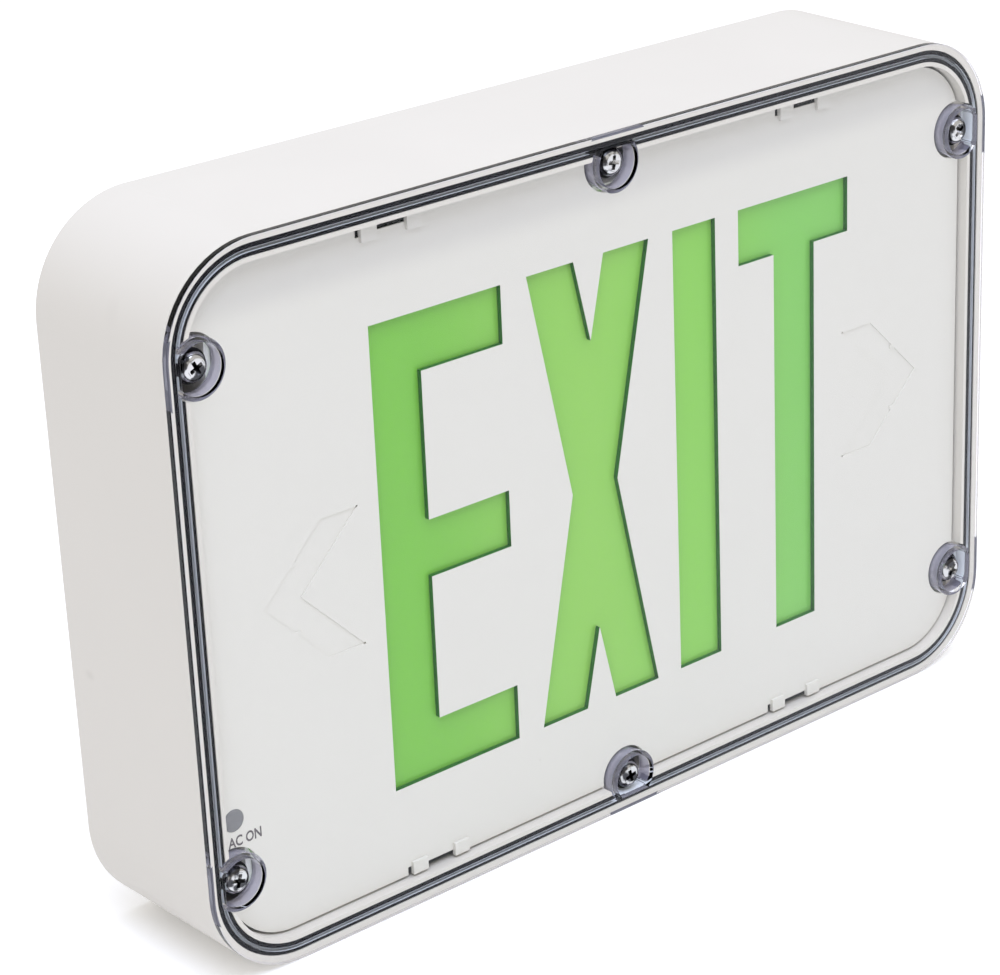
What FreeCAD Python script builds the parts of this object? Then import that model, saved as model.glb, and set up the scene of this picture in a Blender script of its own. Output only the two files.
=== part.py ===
import FreeCAD, Part
import os
from math import radians, sin, sqrt, tan

# Emergency exit light for wet places: a deep moulded housing, a stencil faceplate over a green
# diffuser, and a clear cover held down on a gasket by six screws.
# Millimetres. +X is to the right of someone reading the sign, +Y goes into the wall, +Z is up.
# The origin is the centre of the rear face, which lies against the wall at Y = 0.

V = FreeCAD.Vector

# ---- Driving dimensions -------------------------------------------------------------------------

HOUSING_WIDTH = 342.0
HOUSING_HEIGHT = 235.0
HOUSING_DEPTH = 63.5
HOUSING_CORNER = 34.9
SIDE_DRAFT_DEGREES = 0.6
END_DRAFT_DEGREES = 1.7
FRONT_CORNER = 32.0
OUTER_WALL = 2.4
INNER_WALL = 1.4
REAR_WALL = 3.0
REAR_EDGE_ROUND = 1.0

GROOVE_WIDTH = 4.0
GROOVE_DEPTH = 4.0
GROOVE_FLOOR = 4.0
CHANNEL_RIB = 1.6
CHANNEL_RIB_PITCH = 48.0

GASKET_LIP = 1.2
GASKET_BASE = 0.8
GASKET_BELOW_RIM = 0.3
GASKET_SIDE_GAP = 0.1
GASKET_SEAT_GAP = 0.05

COVER_THICKNESS = 2.2
COVER_SEAT_GAP = 0.3
COVER_EDGE_ROUND = 0.6
RIB_TO_GASKET = 0.15
BOSS_DIAMETER = 18.8
BOSS_BACK_DIAMETER = 17.6
BOSS_DEPTH = 7.9
WELL_DIAMETER = 16.0
WELL_SIDE_WALL = 0.7
BOSS_FLOOR = 1.6
SCREW_SIDE_INSET = 11.15
SCREW_END_INSET = 10.1
SCREW_CORNER_INSET = 34.2

SCREW_HEAD_DIAMETER = 9.1
SCREW_HEAD_HEIGHT = 3.0
SCREW_DIAMETER = 4.8
SCREW_LENGTH = 13.0
SCREW_CLEARANCE = 0.3
RECESS_SPAN = 5.6
RECESS_BLADE = 1.3
RECESS_DEPTH = 2.1
RECESS_TURNS = [18.0, 64.0, 35.0, 52.0, 8.0, 77.0]
RECESS_FLOOR_SHARE = 0.45
HEAD_SIDE_SHARE = 0.4
HEAD_FLAT_SHARE = 0.5
SEAL_THICKNESS = 1.2
SEAL_OVERHANG = 0.8
INSERT_WALL = 1.0
INSERT_LENGTH = 8.0
POST_RADIUS = 5.6
POST_CLEARANCE = 0.3

FACEPLATE_SETBACK = 6.0
FACEPLATE_THICKNESS = 1.8
FACEPLATE_EDGE_GAP = 0.9
BOSS_NOTCH_GAP = 0.4

LETTER_HEIGHT = 152.9
LETTER_STROKE = 18.9
LETTER_WIDTH = 51.1
LETTER_SPACING = 10.3
LEGEND_SHIFT = 5.3
LEGEND_LIFT = 0.3
X_NOTCH_DEPTH = 27.2
X_STROKE_WIDTH = 19.3

CHEVRON_HALF_HEIGHT = 22.4
CHEVRON_THICKNESS = 13.8
CHEVRON_INSET = 20.9
CHEVRON_RECESS = 0.3
CHEVRON_TAB = 1.4
CHEVRON_PIT_RADIUS = 0.4
CHEVRON_PIT_DEPTH = 0.9

CATCH_TOP_SPACING = 172.0
CATCH_BOTTOM_SPACING = 160.6
CATCH_SLOT_WIDTH = 11.2
CATCH_SLOT_HEIGHT = 1.9
CATCH_BLOCK_WIDTH = 5.9
CATCH_BLOCK_HEIGHT = 4.3
CATCH_BLOCK_PROUD = 1.1
CATCH_BLOCK_SKIN = 0.5
CATCH_GAP_WIDTH = 1.5
CATCH_GAP_HEIGHT = 2.7

DIFFUSER_THICKNESS = 1.0
DIFFUSER_OVERLAP = 1.6
LAYER_GAP = 0.15

TRAY_INSET = 18.2
TRAY_DEPTH = 21.0
TRAY_WALL = 2.0
ARM_THICKNESS = 1.3
ARM_SIDE_GAP = 0.3
ARM_SHELF = 1.8
ARM_NOSE = 1.0

LED_BOARD_END_GAP = 27.0
LED_BOARD_WIDTH = 12.0
BOARD_THICKNESS = 1.6
LED_COUNT = 12
LED_LENGTH = 3.5
LED_WIDTH = 2.8
LED_HEIGHT = 1.9

SMALL_SCREW_DIAMETER = 3.0
SMALL_HEAD_DIAMETER = 5.6
SMALL_HEAD_HEIGHT = 2.0
SMALL_SCREW_LENGTH = 6.5
SMALL_POST_RADIUS = 3.6

TRAY_SCREW_SIDE_INSET = 34.0
TRAY_SCREW_END_INSET = 23.0

DRIVER_CENTRE_X = 102.0
DRIVER_WIDTH = 84.0
DRIVER_HEIGHT = 116.0
DRIVER_STANDOFF = 7.5
DRIVER_HOLE_INSET = 5.0
TRANSFORMER_X = 14.0
TRANSFORMER_Z = 22.0
TRANSFORMER_WIDTH = 41.0
TRANSFORMER_STACK = 34.0
TRANSFORMER_CORE_HEIGHT = 18.0
COIL_WIDTH = 27.0
COIL_LENGTH = 49.0
COIL_HEIGHT = 20.0
COIL_ROUND = 3.0
CAPACITOR_X = -27.0
CAPACITOR_TOP = 46.0
CAPACITOR_GAP = 3.0
CAPACITOR_SIZES = [(12.5, 18.0), (10.0, 15.0), (10.0, 15.0)]
RELAY_X = 18.0
RELAY_Z = -24.0
RELAY_WIDTH = 15.5
RELAY_LENGTH = 20.0
RELAY_HEIGHT = 15.5
TERMINAL_Z = -22.0
TERMINAL_WIDTH = 16.0
TERMINAL_HEIGHT = 14.0
TERMINAL_POLES = 3
TERMINAL_PITCH = 8.5
TERMINAL_SCREW = 5.2
TERMINAL_SCREW_DEPTH = 6.0

BATTERY_CELL_DIAMETER = 22.5
BATTERY_CELL_LENGTH = 43.0
BATTERY_CELLS = 3
BATTERY_CENTRE_X = -92.0
BATTERY_CENTRE_Z = -34.0
BATTERY_SLEEVE = 0.4
BATTERY_WEB_THICKNESS = 14.0
STRAP_THICKNESS = 1.0
STRAP_WIDTH = 14.0
STRAP_FOOT = 9.0
STRAP_POST_HEIGHT = 7.5

INDICATOR_SIDE_INSET = 12.85
INDICATOR_END_INSET = 52.8
INDICATOR_DIAMETER = 7.2
INDICATOR_FLANGE = 0.6
INDICATOR_FLANGE_THICKNESS = 1.0
INDICATOR_STEM_RADIUS = 2.2
INDICATOR_STEM_LENGTH = 6.5
INDICATOR_FIT_GAP = 0.1
INDICATOR_BOARD_DEPTH = 44.0
INDICATOR_BOARD_WIDTH = 8.0
INDICATOR_BOARD_HEIGHT = 26.0
INDICATOR_PIN_INSET = 3.2
INDICATOR_PIN_RADIUS = 1.0
INDICATOR_PIN_PROUD = 0.7
INDICATOR_POST_RADIUS = 2.6
INDICATOR_LED_RADIUS = 1.5
INDICATOR_LED_LENGTH = 4.4
INDICATOR_LED_COLLAR = 0.4
REED_RADIUS = 1.1
REED_LENGTH = 6.2
REED_OFFSET = 2.4

SUPPLY_HOLE_DIAMETER = 22.2
BOX_SCREW_SPACING = 88.9
BOX_SCREW_HOLE = 5.0
WALL_SCREW_SPACING_X = 272.0
WALL_SCREW_SPACING_Z = 172.0
WALL_SCREW_HOLE = 5.5

# ---- Sizes worked out from them ----------------------------------------------------------------

RIM_FRONT = -HOUSING_DEPTH
FRONT_WIDTH = HOUSING_WIDTH - 2 * HOUSING_DEPTH * tan(radians(SIDE_DRAFT_DEGREES))
FRONT_HEIGHT = HOUSING_HEIGHT - 2 * HOUSING_DEPTH * tan(radians(END_DRAFT_DEGREES))
GROOVE_INNER_INSET = OUTER_WALL + GROOVE_WIDTH
POCKET_INSET = GROOVE_INNER_INSET + INNER_WALL
GROOVE_BOTTOM = RIM_FRONT + GROOVE_DEPTH
CHANNEL_FRONT = GROOVE_BOTTOM + GROOVE_FLOOR

COVER_BACK = RIM_FRONT - COVER_SEAT_GAP
COVER_FRONT = COVER_BACK - COVER_THICKNESS
GASKET_INSET = OUTER_WALL + GASKET_SIDE_GAP
GASKET_FRONT = RIM_FRONT + GASKET_BELOW_RIM
GASKET_BACK = GROOVE_BOTTOM - GASKET_SEAT_GAP
GASKET_FLOOR = GASKET_BACK - GASKET_BASE
VALLEY_INSET = GASKET_INSET + GASKET_LIP
VALLEY_WIDTH = GROOVE_WIDTH - 2 * (GASKET_SIDE_GAP + GASKET_LIP)
RIB_INSET = VALLEY_INSET + RIB_TO_GASKET
RIB_THICKNESS = VALLEY_WIDTH - 2 * RIB_TO_GASKET
RIB_BACK = GASKET_FLOOR - GASKET_SEAT_GAP
BOSS_BACK = COVER_FRONT + BOSS_DEPTH
WELL_FLOOR = BOSS_BACK - BOSS_FLOOR
POST_FRONT = BOSS_BACK + POST_CLEARANCE
POCKET_FLOOR = -REAR_WALL

FACEPLATE_FRONT = COVER_FRONT + FACEPLATE_SETBACK
FACEPLATE_BACK = FACEPLATE_FRONT + FACEPLATE_THICKNESS
FACEPLATE_INSET = POCKET_INSET + FACEPLATE_EDGE_GAP
DIFFUSER_FRONT = FACEPLATE_BACK + LAYER_GAP
DIFFUSER_BACK = DIFFUSER_FRONT + DIFFUSER_THICKNESS
TRAY_FRONT = DIFFUSER_BACK + LAYER_GAP
TRAY_FLOOR_FRONT = TRAY_FRONT + TRAY_DEPTH - TRAY_WALL
TRAY_BACK = TRAY_FRONT + TRAY_DEPTH
DRIVER_BACK = POCKET_FLOOR - DRIVER_STANDOFF
DRIVER_FRONT = DRIVER_BACK - BOARD_THICKNESS
STRAP_SEAT = POCKET_FLOOR - STRAP_POST_HEIGHT

INDICATOR_X = INDICATOR_SIDE_INSET - FRONT_WIDTH / 2
INDICATOR_Z = INDICATOR_END_INSET - FRONT_HEIGHT / 2
INDICATOR_BOARD_BACK = -INDICATOR_BOARD_DEPTH
INDICATOR_BOARD_FRONT = INDICATOR_BOARD_BACK - BOARD_THICKNESS


# ---- Shape helpers -------------------------------------------------------------------------------

def outline(width, height, corner, y):
    """Closed wire of a rounded rectangle, centred on the Y axis, in the plane at depth y."""
    half_w = width / 2
    half_h = height / 2
    mid = corner * (1 - sqrt(0.5))
    edges = []
    for sx, sz in ((1, 1), (-1, 1), (-1, -1), (1, -1)):
        side = V(sx * half_w, y, sz * (half_h - corner))
        end = V(sx * (half_w - corner), y, sz * half_h)
        middle = V(sx * (half_w - mid), y, sz * (half_h - mid))
        first, last = (side, end) if sx == sz else (end, side)
        edges.append(Part.Arc(first, middle, last).toShape())
    joined = []
    for index, arc in enumerate(edges):
        joined.append(arc)
        start = arc.Vertexes[-1].Point
        finish = edges[(index + 1) % 4].Vertexes[0].Point
        joined.append(Part.makeLine(start, finish))
    return Part.Wire(joined)


def front_outline(inset, y):
    """The front rim's outline, moved inwards by inset."""
    return outline(FRONT_WIDTH - 2 * inset, FRONT_HEIGHT - 2 * inset, FRONT_CORNER - inset, y)


def drafted_outline(inset, y):
    """The housing's outline at depth y, which widens towards the wall, moved inwards by inset."""
    share = (y - RIM_FRONT) / HOUSING_DEPTH
    width = FRONT_WIDTH + share * (HOUSING_WIDTH - FRONT_WIDTH)
    height = FRONT_HEIGHT + share * (HOUSING_HEIGHT - FRONT_HEIGHT)
    corner = FRONT_CORNER + share * (HOUSING_CORNER - FRONT_CORNER)
    return outline(width - 2 * inset, height - 2 * inset, corner - inset, y)


def slab(inset, front, back):
    """Solid with straight sides between two depths, inside the rim's outline by inset."""
    return Part.Face(front_outline(inset, front)).extrude(V(0, back - front, 0))


def tapered_slab(inset, front, back):
    """Solid that follows the housing's draft between two depths."""
    return Part.makeLoft([drafted_outline(inset, front), drafted_outline(inset, back)], True, True)


def ring(inset, width, front, back):
    """Closed strip that runs round the rim, width wide, its outer side at inset."""
    return slab(inset, front, back).cut(slab(inset + width, front, back))


def rod(x, z, radius, front, back):
    """Round bar along Y."""
    return Part.makeCylinder(radius, back - front, V(x, front, z), V(0, 1, 0))


def block(centre_x, width, front, back, low, high):
    """Box centred at centre_x, between two depths and two heights."""
    return Part.makeBox(width, back - front, high - low, V(centre_x - width / 2, front, low))


def plate_from(points, front, back):
    """Flat piece cut to a closed outline of (x, z) points."""
    corners = [V(x, front, z) for x, z in points]
    wire = Part.makePolygon(corners + corners[:1])
    return Part.Face(wire).extrude(V(0, back - front, 0))


def fused(shapes):
    """One solid from touching shapes, with its flat faces merged."""
    whole = shapes[0].multiFuse(shapes[1:]) if len(shapes) > 1 else shapes[0]
    return whole.removeSplitter()


def rectangle_points(spacing_x, spacing_z, centre_x=0.0, centre_z=0.0):
    """Four corners of a rectangular hole pattern."""
    return [(centre_x + sx * spacing_x / 2, centre_z + sz * spacing_z / 2)
            for sx in (-1, 1) for sz in (-1, 1)]


def cover_screw_points():
    """Axes of the six cover screws: two down each side, and one at the top and bottom."""
    side = FRONT_WIDTH / 2 - SCREW_SIDE_INSET
    end = FRONT_HEIGHT / 2 - SCREW_END_INSET
    reach = FRONT_HEIGHT / 2 - SCREW_CORNER_INSET
    return rectangle_points(2 * side, 2 * reach) + [(0.0, end), (0.0, -end)]


def catch_points():
    """Centre and direction (+1 up, -1 down) of the four catches on the faceplate's long edges."""
    points = []
    for spacing, direction in ((CATCH_TOP_SPACING, 1), (CATCH_BOTTOM_SPACING, -1)):
        points += [(-spacing / 2, direction), (spacing / 2, direction)]
    return points


def tray_screw_points():
    side = FRONT_WIDTH / 2 - TRAY_INSET - TRAY_SCREW_SIDE_INSET
    end = FRONT_HEIGHT / 2 - TRAY_INSET - TRAY_SCREW_END_INSET
    return rectangle_points(2 * side, 2 * end)


def driver_screw_points():
    reach_x = DRIVER_WIDTH - 2 * DRIVER_HOLE_INSET
    reach_z = DRIVER_HEIGHT - 2 * DRIVER_HOLE_INSET
    return rectangle_points(reach_x, reach_z, DRIVER_CENTRE_X)


def battery_length():
    """Height of the pack, whose cells lie side by side."""
    return BATTERY_CELLS * BATTERY_CELL_DIAMETER + 2 * BATTERY_SLEEVE


def battery_width():
    return BATTERY_CELL_LENGTH + 2 * BATTERY_SLEEVE


def battery_thickness():
    return BATTERY_CELL_DIAMETER + 2 * BATTERY_SLEEVE


def strap_screw_points():
    reach = battery_length() / 2 + LAYER_GAP + STRAP_THICKNESS + STRAP_FOOT / 2
    return [(BATTERY_CENTRE_X, BATTERY_CENTRE_Z + side * reach) for side in (-1, 1)]


# ---- Housing ---------------------------------------------------------------------------------------

def channel_ribs():
    """Webs that cross the hollow between the housing's two walls."""
    webs = []
    reach_x = HOUSING_WIDTH / 2 - HOUSING_CORNER
    reach_z = HOUSING_HEIGHT / 2 - HOUSING_CORNER
    across = int(2 * reach_x / CHANNEL_RIB_PITCH)
    up = int(2 * reach_z / CHANNEL_RIB_PITCH)
    for index in range(across + 1):
        x = -reach_x + index * 2 * reach_x / across
        webs.append(block(x, CHANNEL_RIB, CHANNEL_FRONT, 0, -HOUSING_HEIGHT, HOUSING_HEIGHT))
    for index in range(up + 1):
        z = -reach_z + index * 2 * reach_z / up
        low = z - CHANNEL_RIB / 2
        webs.append(block(0, 2 * HOUSING_WIDTH, CHANNEL_FRONT, 0, low, low + CHANNEL_RIB))
    return webs


def wall_channel():
    """Hollow between the outer and inner walls, open at the wall side, with its webs left in."""
    around = tapered_slab(OUTER_WALL, CHANNEL_FRONT, 0)
    channel = around.cut(slab(GROOVE_INNER_INSET, CHANNEL_FRONT, 0))
    return channel.cut(Part.makeCompound(channel_ribs()))


def housing_posts():
    """Pillars that the cover, tray, circuit boards and battery strap are screwed to."""
    posts = [rod(x, z, POST_RADIUS, POST_FRONT, POCKET_FLOOR) for x, z in cover_screw_points()]
    posts += [rod(x, z, SMALL_POST_RADIUS, TRAY_BACK, POCKET_FLOOR) for x, z in tray_screw_points()]
    posts += [rod(x, z, SMALL_POST_RADIUS, DRIVER_BACK, POCKET_FLOOR)
              for x, z in driver_screw_points()]
    posts += [rod(x, z, SMALL_POST_RADIUS, STRAP_SEAT, POCKET_FLOOR)
              for x, z in strap_screw_points()]
    pin_front = INDICATOR_BOARD_FRONT - INDICATOR_PIN_PROUD
    for x, z in indicator_post_points():
        posts.append(rod(x, z, INDICATOR_POST_RADIUS, INDICATOR_BOARD_BACK, POCKET_FLOOR))
        posts.append(rod(x, z, INDICATOR_PIN_RADIUS, pin_front, POCKET_FLOOR))
    return posts


def indicator_post_points():
    reach = INDICATOR_BOARD_HEIGHT / 2 - INDICATOR_PIN_INSET
    return [(INDICATOR_X, INDICATOR_Z + side * reach) for side in (-1, 1)]


def post_bores():
    """Holes in the pillars: for the cover's inserts, and pilot holes for the small screws."""
    bores = []
    for x, z in cover_screw_points():
        bores.append(rod(x, z, insert_radius(), POST_FRONT, POST_FRONT + INSERT_LENGTH + 1))
        bores.append(rod(x, z, SCREW_DIAMETER / 2 + SCREW_CLEARANCE, POST_FRONT,
                         POST_FRONT + SCREW_LENGTH + 1))
    seats = [(tray_screw_points(), TRAY_BACK), (driver_screw_points(), DRIVER_BACK),
             (strap_screw_points(), STRAP_SEAT)]
    for points, seat in seats:
        bores += [rod(x, z, SMALL_SCREW_DIAMETER / 2, seat, seat + SMALL_SCREW_LENGTH - 1)
                  for x, z in points]
    return bores


def boss_scallops():
    """Rounds cut out of the inner wall, the gasket and the groove's floor for the cover's bosses."""
    radius = BOSS_DIAMETER / 2 + BOSS_NOTCH_GAP
    room = slab(RIB_INSET - RIB_TO_GASKET / 2, RIM_FRONT, POST_FRONT)
    return [rod(x, z, radius, RIM_FRONT, POST_FRONT).common(room) for x, z in cover_screw_points()]


def wall_holes():
    """Holes through the rear wall: the supply entry and the screws to a box or a wall."""
    holes = [rod(0, 0, SUPPLY_HOLE_DIAMETER / 2, POCKET_FLOOR, 0)]
    for side in (-1, 1):
        holes.append(rod(side * BOX_SCREW_SPACING / 2, 0, BOX_SCREW_HOLE / 2, POCKET_FLOOR, 0))
    holes += [rod(x, z, WALL_SCREW_HOLE / 2, POCKET_FLOOR, 0)
              for x, z in rectangle_points(WALL_SCREW_SPACING_X, WALL_SCREW_SPACING_Z)]
    return holes


def back_housing():
    """Deep tray with a double wall: groove for gasket and rib in front, cored out from the wall."""
    body = tapered_slab(0, RIM_FRONT, 0)
    rear_edges = [edge for edge in body.Edges if abs(edge.BoundBox.YMin) < 1e-6]
    body = body.makeFillet(REAR_EDGE_ROUND, rear_edges)
    body = body.cut(slab(POCKET_INSET, RIM_FRONT, POCKET_FLOOR))
    body = body.cut(ring(OUTER_WALL, GROOVE_WIDTH, RIM_FRONT, GROOVE_BOTTOM))
    body = body.cut(wall_channel())
    body = body.multiFuse(housing_posts())
    body = body.cut(Part.makeCompound(boss_scallops()))
    for tool in post_bores() + wall_holes():
        body = body.cut(tool)
    return body.removeSplitter()


# ---- Clear cover, gasket and screws ------------------------------------------------------------------

def clear_cover():
    """Clear plate with a rib that presses into the gasket, and six bosses with screw wells."""
    plate = slab(0, COVER_FRONT, COVER_BACK)
    front_edges = [edge for edge in plate.Edges if abs(edge.BoundBox.YMax - COVER_FRONT) < 1e-6]
    plate = plate.makeFillet(COVER_EDGE_ROUND, front_edges)
    pieces = [plate, ring(RIB_INSET, RIB_THICKNESS, COVER_BACK, RIB_BACK)]
    boss_room = slab(RIB_INSET, COVER_BACK, BOSS_BACK)
    for x, z in cover_screw_points():
        boss = Part.makeCone(BOSS_DIAMETER / 2, BOSS_BACK_DIAMETER / 2, BOSS_BACK - COVER_BACK,
                             V(x, COVER_BACK, z), V(0, 1, 0))
        pieces.append(boss.common(boss_room))
    body = fused(pieces)
    well_room = slab(RIB_INSET + WELL_SIDE_WALL, COVER_FRONT, WELL_FLOOR)
    for x, z in cover_screw_points():
        body = body.cut(rod(x, z, WELL_DIAMETER / 2, COVER_FRONT, WELL_FLOOR).common(well_room))
        body = body.cut(rod(x, z, SCREW_DIAMETER / 2 + SCREW_CLEARANCE, WELL_FLOOR, BOSS_BACK))
    return body.removeSplitter()


def cover_gasket():
    """Black rubber channel that lies in the groove, its inner lip cut away at the cover's bosses."""
    body = ring(GASKET_INSET, GROOVE_WIDTH - 2 * GASKET_SIDE_GAP, GASKET_FRONT, GASKET_BACK)
    body = body.cut(ring(VALLEY_INSET, VALLEY_WIDTH, GASKET_FRONT, GASKET_FLOOR))
    return body.cut(Part.makeCompound(boss_scallops()))


def pan_head(diameter, height, seat):
    """Pan head about the Y axis: a short upright side, and a dome that flattens at the top."""
    radius = diameter / 2
    top = seat - height
    side_end = V(radius, seat - HEAD_SIDE_SHARE * height, 0)
    flat_end = V(HEAD_FLAT_SHARE * radius, top, 0)
    turn = radians(45)
    middle = V(flat_end.x + (radius - flat_end.x) * sin(turn),
               side_end.y + (top - side_end.y) * sin(turn), 0)
    edges = [Part.makeLine(V(0, seat, 0), V(radius, seat, 0)),
             Part.makeLine(V(radius, seat, 0), side_end),
             Part.Arc(side_end, middle, flat_end).toShape(),
             Part.makeLine(flat_end, V(0, top, 0)),
             Part.makeLine(V(0, top, 0), V(0, seat, 0))]
    return Part.Face(Part.Wire(edges)).revolve(V(0, 0, 0), V(0, 1, 0), 360)


def cross_recess(head_top):
    """Cross-shaped pocket of the screw's head, narrower at its floor."""
    return fused([tapered_pocket(RECESS_SPAN, RECESS_BLADE, head_top),
                  tapered_pocket(RECESS_BLADE, RECESS_SPAN, head_top)])


def tapered_pocket(span_x, span_z, head_top):
    """Wedge of a recess: full size at the head's top, and smaller at its floor."""
    wires = []
    for share, y in ((1.0, head_top), (RECESS_FLOOR_SHARE, head_top + RECESS_DEPTH)):
        half_x = span_x * share / 2
        half_z = span_z * share / 2
        corners = [V(-half_x, y, -half_z), V(half_x, y, -half_z), V(half_x, y, half_z),
                   V(-half_x, y, half_z)]
        wires.append(Part.makePolygon(corners + corners[:1]))
    return Part.makeLoft(wires, True, True)


def cover_screw():
    """Stainless pan-head screw with a cross recess, on the Y axis."""
    seat = WELL_FLOOR - SEAL_THICKNESS
    head = pan_head(SCREW_HEAD_DIAMETER, SCREW_HEAD_HEIGHT, seat)
    shank = rod(0, 0, SCREW_DIAMETER / 2, seat, seat + SCREW_LENGTH)
    return fused([head, shank]).cut(cross_recess(seat - SCREW_HEAD_HEIGHT))


def cover_screws():
    """The six cover screws, each tightened to its own angle."""
    screws = []
    for (x, z), turn in zip(cover_screw_points(), RECESS_TURNS):
        screw = cover_screw()
        screw.rotate(V(0, 0, 0), V(0, 1, 0), turn)
        screw.translate(V(x, 0, z))
        screws.append(screw)
    return Part.makeCompound(screws)


def at_points(piece, points):
    """Separate copies of a piece, moved to each (x, z) point."""
    copies = []
    for x, z in points:
        copy = piece.copy()
        copy.translate(V(x, 0, z))
        copies.append(copy)
    return Part.makeCompound(copies)


def screw_seal():
    """Rubber sealing washer under the head of a cover screw."""
    outer = rod(0, 0, SCREW_HEAD_DIAMETER / 2 + SEAL_OVERHANG, WELL_FLOOR - SEAL_THICKNESS, WELL_FLOOR)
    return outer.cut(rod(0, 0, SCREW_DIAMETER / 2, WELL_FLOOR - SEAL_THICKNESS, WELL_FLOOR))


def insert_radius():
    return SCREW_DIAMETER / 2 + INSERT_WALL


def screw_insert():
    """Brass threaded insert, pressed flush into a pillar."""
    body = rod(0, 0, insert_radius(), POST_FRONT, POST_FRONT + INSERT_LENGTH)
    return body.cut(rod(0, 0, SCREW_DIAMETER / 2, POST_FRONT, POST_FRONT + INSERT_LENGTH))


# ---- Faceplate -------------------------------------------------------------------------------------

def letter_bar(x, low, width, height):
    """Outline of an upright rectangle of a letter, its lower left corner at (x, low)."""
    return [(x, low), (x + width, low), (x + width, low + height), (x, low + height)]


def letter_e(x, low):
    """E: an upright and three arms, the middle one at half height."""
    middle = low + (LETTER_HEIGHT - LETTER_STROKE) / 2
    top = low + LETTER_HEIGHT - LETTER_STROKE
    bars = [letter_bar(x, low, LETTER_STROKE, LETTER_HEIGHT)]
    bars += [letter_bar(x, z, LETTER_WIDTH, LETTER_STROKE) for z in (low, middle, top)]
    return bars


def letter_x(x, low):
    """X: two strokes that cross at mid height, with a V notch above and below."""
    top = low + LETTER_HEIGHT
    centre = x + LETTER_WIDTH / 2
    waist = low + LETTER_HEIGHT / 2
    right = x + LETTER_WIDTH
    half_waist = X_STROKE_WIDTH / 2
    return [[(x, low), (x + X_STROKE_WIDTH, low), (centre, low + X_NOTCH_DEPTH),
             (right - X_STROKE_WIDTH, low), (right, low), (centre + half_waist, waist),
             (right, top), (right - X_STROKE_WIDTH, top), (centre, top - X_NOTCH_DEPTH),
             (x + X_STROKE_WIDTH, top), (x, top), (centre - half_waist, waist)]]


def letter_i(x, low):
    """I: one upright."""
    return [letter_bar(x, low, LETTER_STROKE, LETTER_HEIGHT)]


def letter_t(x, low):
    """T: an upright under a full-width bar."""
    stem = x + (LETTER_WIDTH - LETTER_STROKE) / 2
    top = low + LETTER_HEIGHT - LETTER_STROKE
    return [letter_bar(stem, low, LETTER_STROKE, LETTER_HEIGHT),
            letter_bar(x, top, LETTER_WIDTH, LETTER_STROKE)]


def legend_cutters():
    """One cutter for each letter of the legend, spaced evenly along the plate."""
    letters = [(letter_e, LETTER_WIDTH), (letter_x, LETTER_WIDTH), (letter_i, LETTER_STROKE),
               (letter_t, LETTER_WIDTH)]
    length = sum(width for _, width in letters) + LETTER_SPACING * (len(letters) - 1)
    x = LEGEND_SHIFT - length / 2
    cutters = []
    for draw, width in letters:
        bars = [plate_from(points, FACEPLATE_FRONT, FACEPLATE_BACK)
                for points in draw(x, LEGEND_LIFT - LETTER_HEIGHT / 2)]
        cutters.append(fused(bars))
        x += width + LETTER_SPACING
    return cutters


def chevron_tip():
    """Distance from the middle of the sign to the point of each direction arrow."""
    return FRONT_WIDTH / 2 - FACEPLATE_INSET - CHEVRON_INSET


def chevron_recess(side):
    """Shallow recess in the shape of an arrow that can be knocked out, with a tab on each arm."""
    half = CHEVRON_HALF_HEIGHT
    outer = chevron_tip() - half
    inner = outer - CHEVRON_THICKNESS
    points = [(inner, half), (outer, half), (outer + half, 0), (outer, -half), (inner, -half),
              (inner + half, 0)]
    recess = plate_from([(side * x, z) for x, z in points], FACEPLATE_FRONT,
                        FACEPLATE_FRONT + CHEVRON_RECESS)
    for height in (-half / 2, half / 2):
        recess = recess.cut(block(side * (chevron_tip() - half / 2), 2 * CHEVRON_TAB, FACEPLATE_FRONT,
                                  FACEPLATE_FRONT + CHEVRON_RECESS, height - CHEVRON_TAB / 2,
                                  height + CHEVRON_TAB / 2))
    pits = [rod(side * inner, z, CHEVRON_PIT_RADIUS, FACEPLATE_FRONT,
                FACEPLATE_FRONT + CHEVRON_PIT_DEPTH) for z in (-half, half)]
    return fused([recess] + pits)


def catch_box(x, width, direction, front, back, inner, outer):
    """Box at a catch, with its heights counted from the middle of the sign outwards."""
    low, high = sorted((direction * inner, direction * outer))
    return block(x, width, front, back, low, high)


def faceplate_edge():
    """Height of the faceplate's long edges above and below its middle."""
    return FRONT_HEIGHT / 2 - FACEPLATE_INSET


def catch_block_offset():
    """Distance from a catch's middle to the middle of each of its raised blocks."""
    return (CATCH_SLOT_WIDTH + CATCH_BLOCK_WIDTH) / 2


def catch_blocks(x, direction):
    """The two raised blocks of a catch, each a hood over one snap arm."""
    edge = faceplate_edge()
    top = FACEPLATE_FRONT - CATCH_BLOCK_PROUD
    return [catch_box(x + side * catch_block_offset(), CATCH_BLOCK_WIDTH, direction, top,
                      FACEPLATE_BACK, edge - CATCH_BLOCK_HEIGHT, edge) for side in (-1, 1)]


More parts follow.
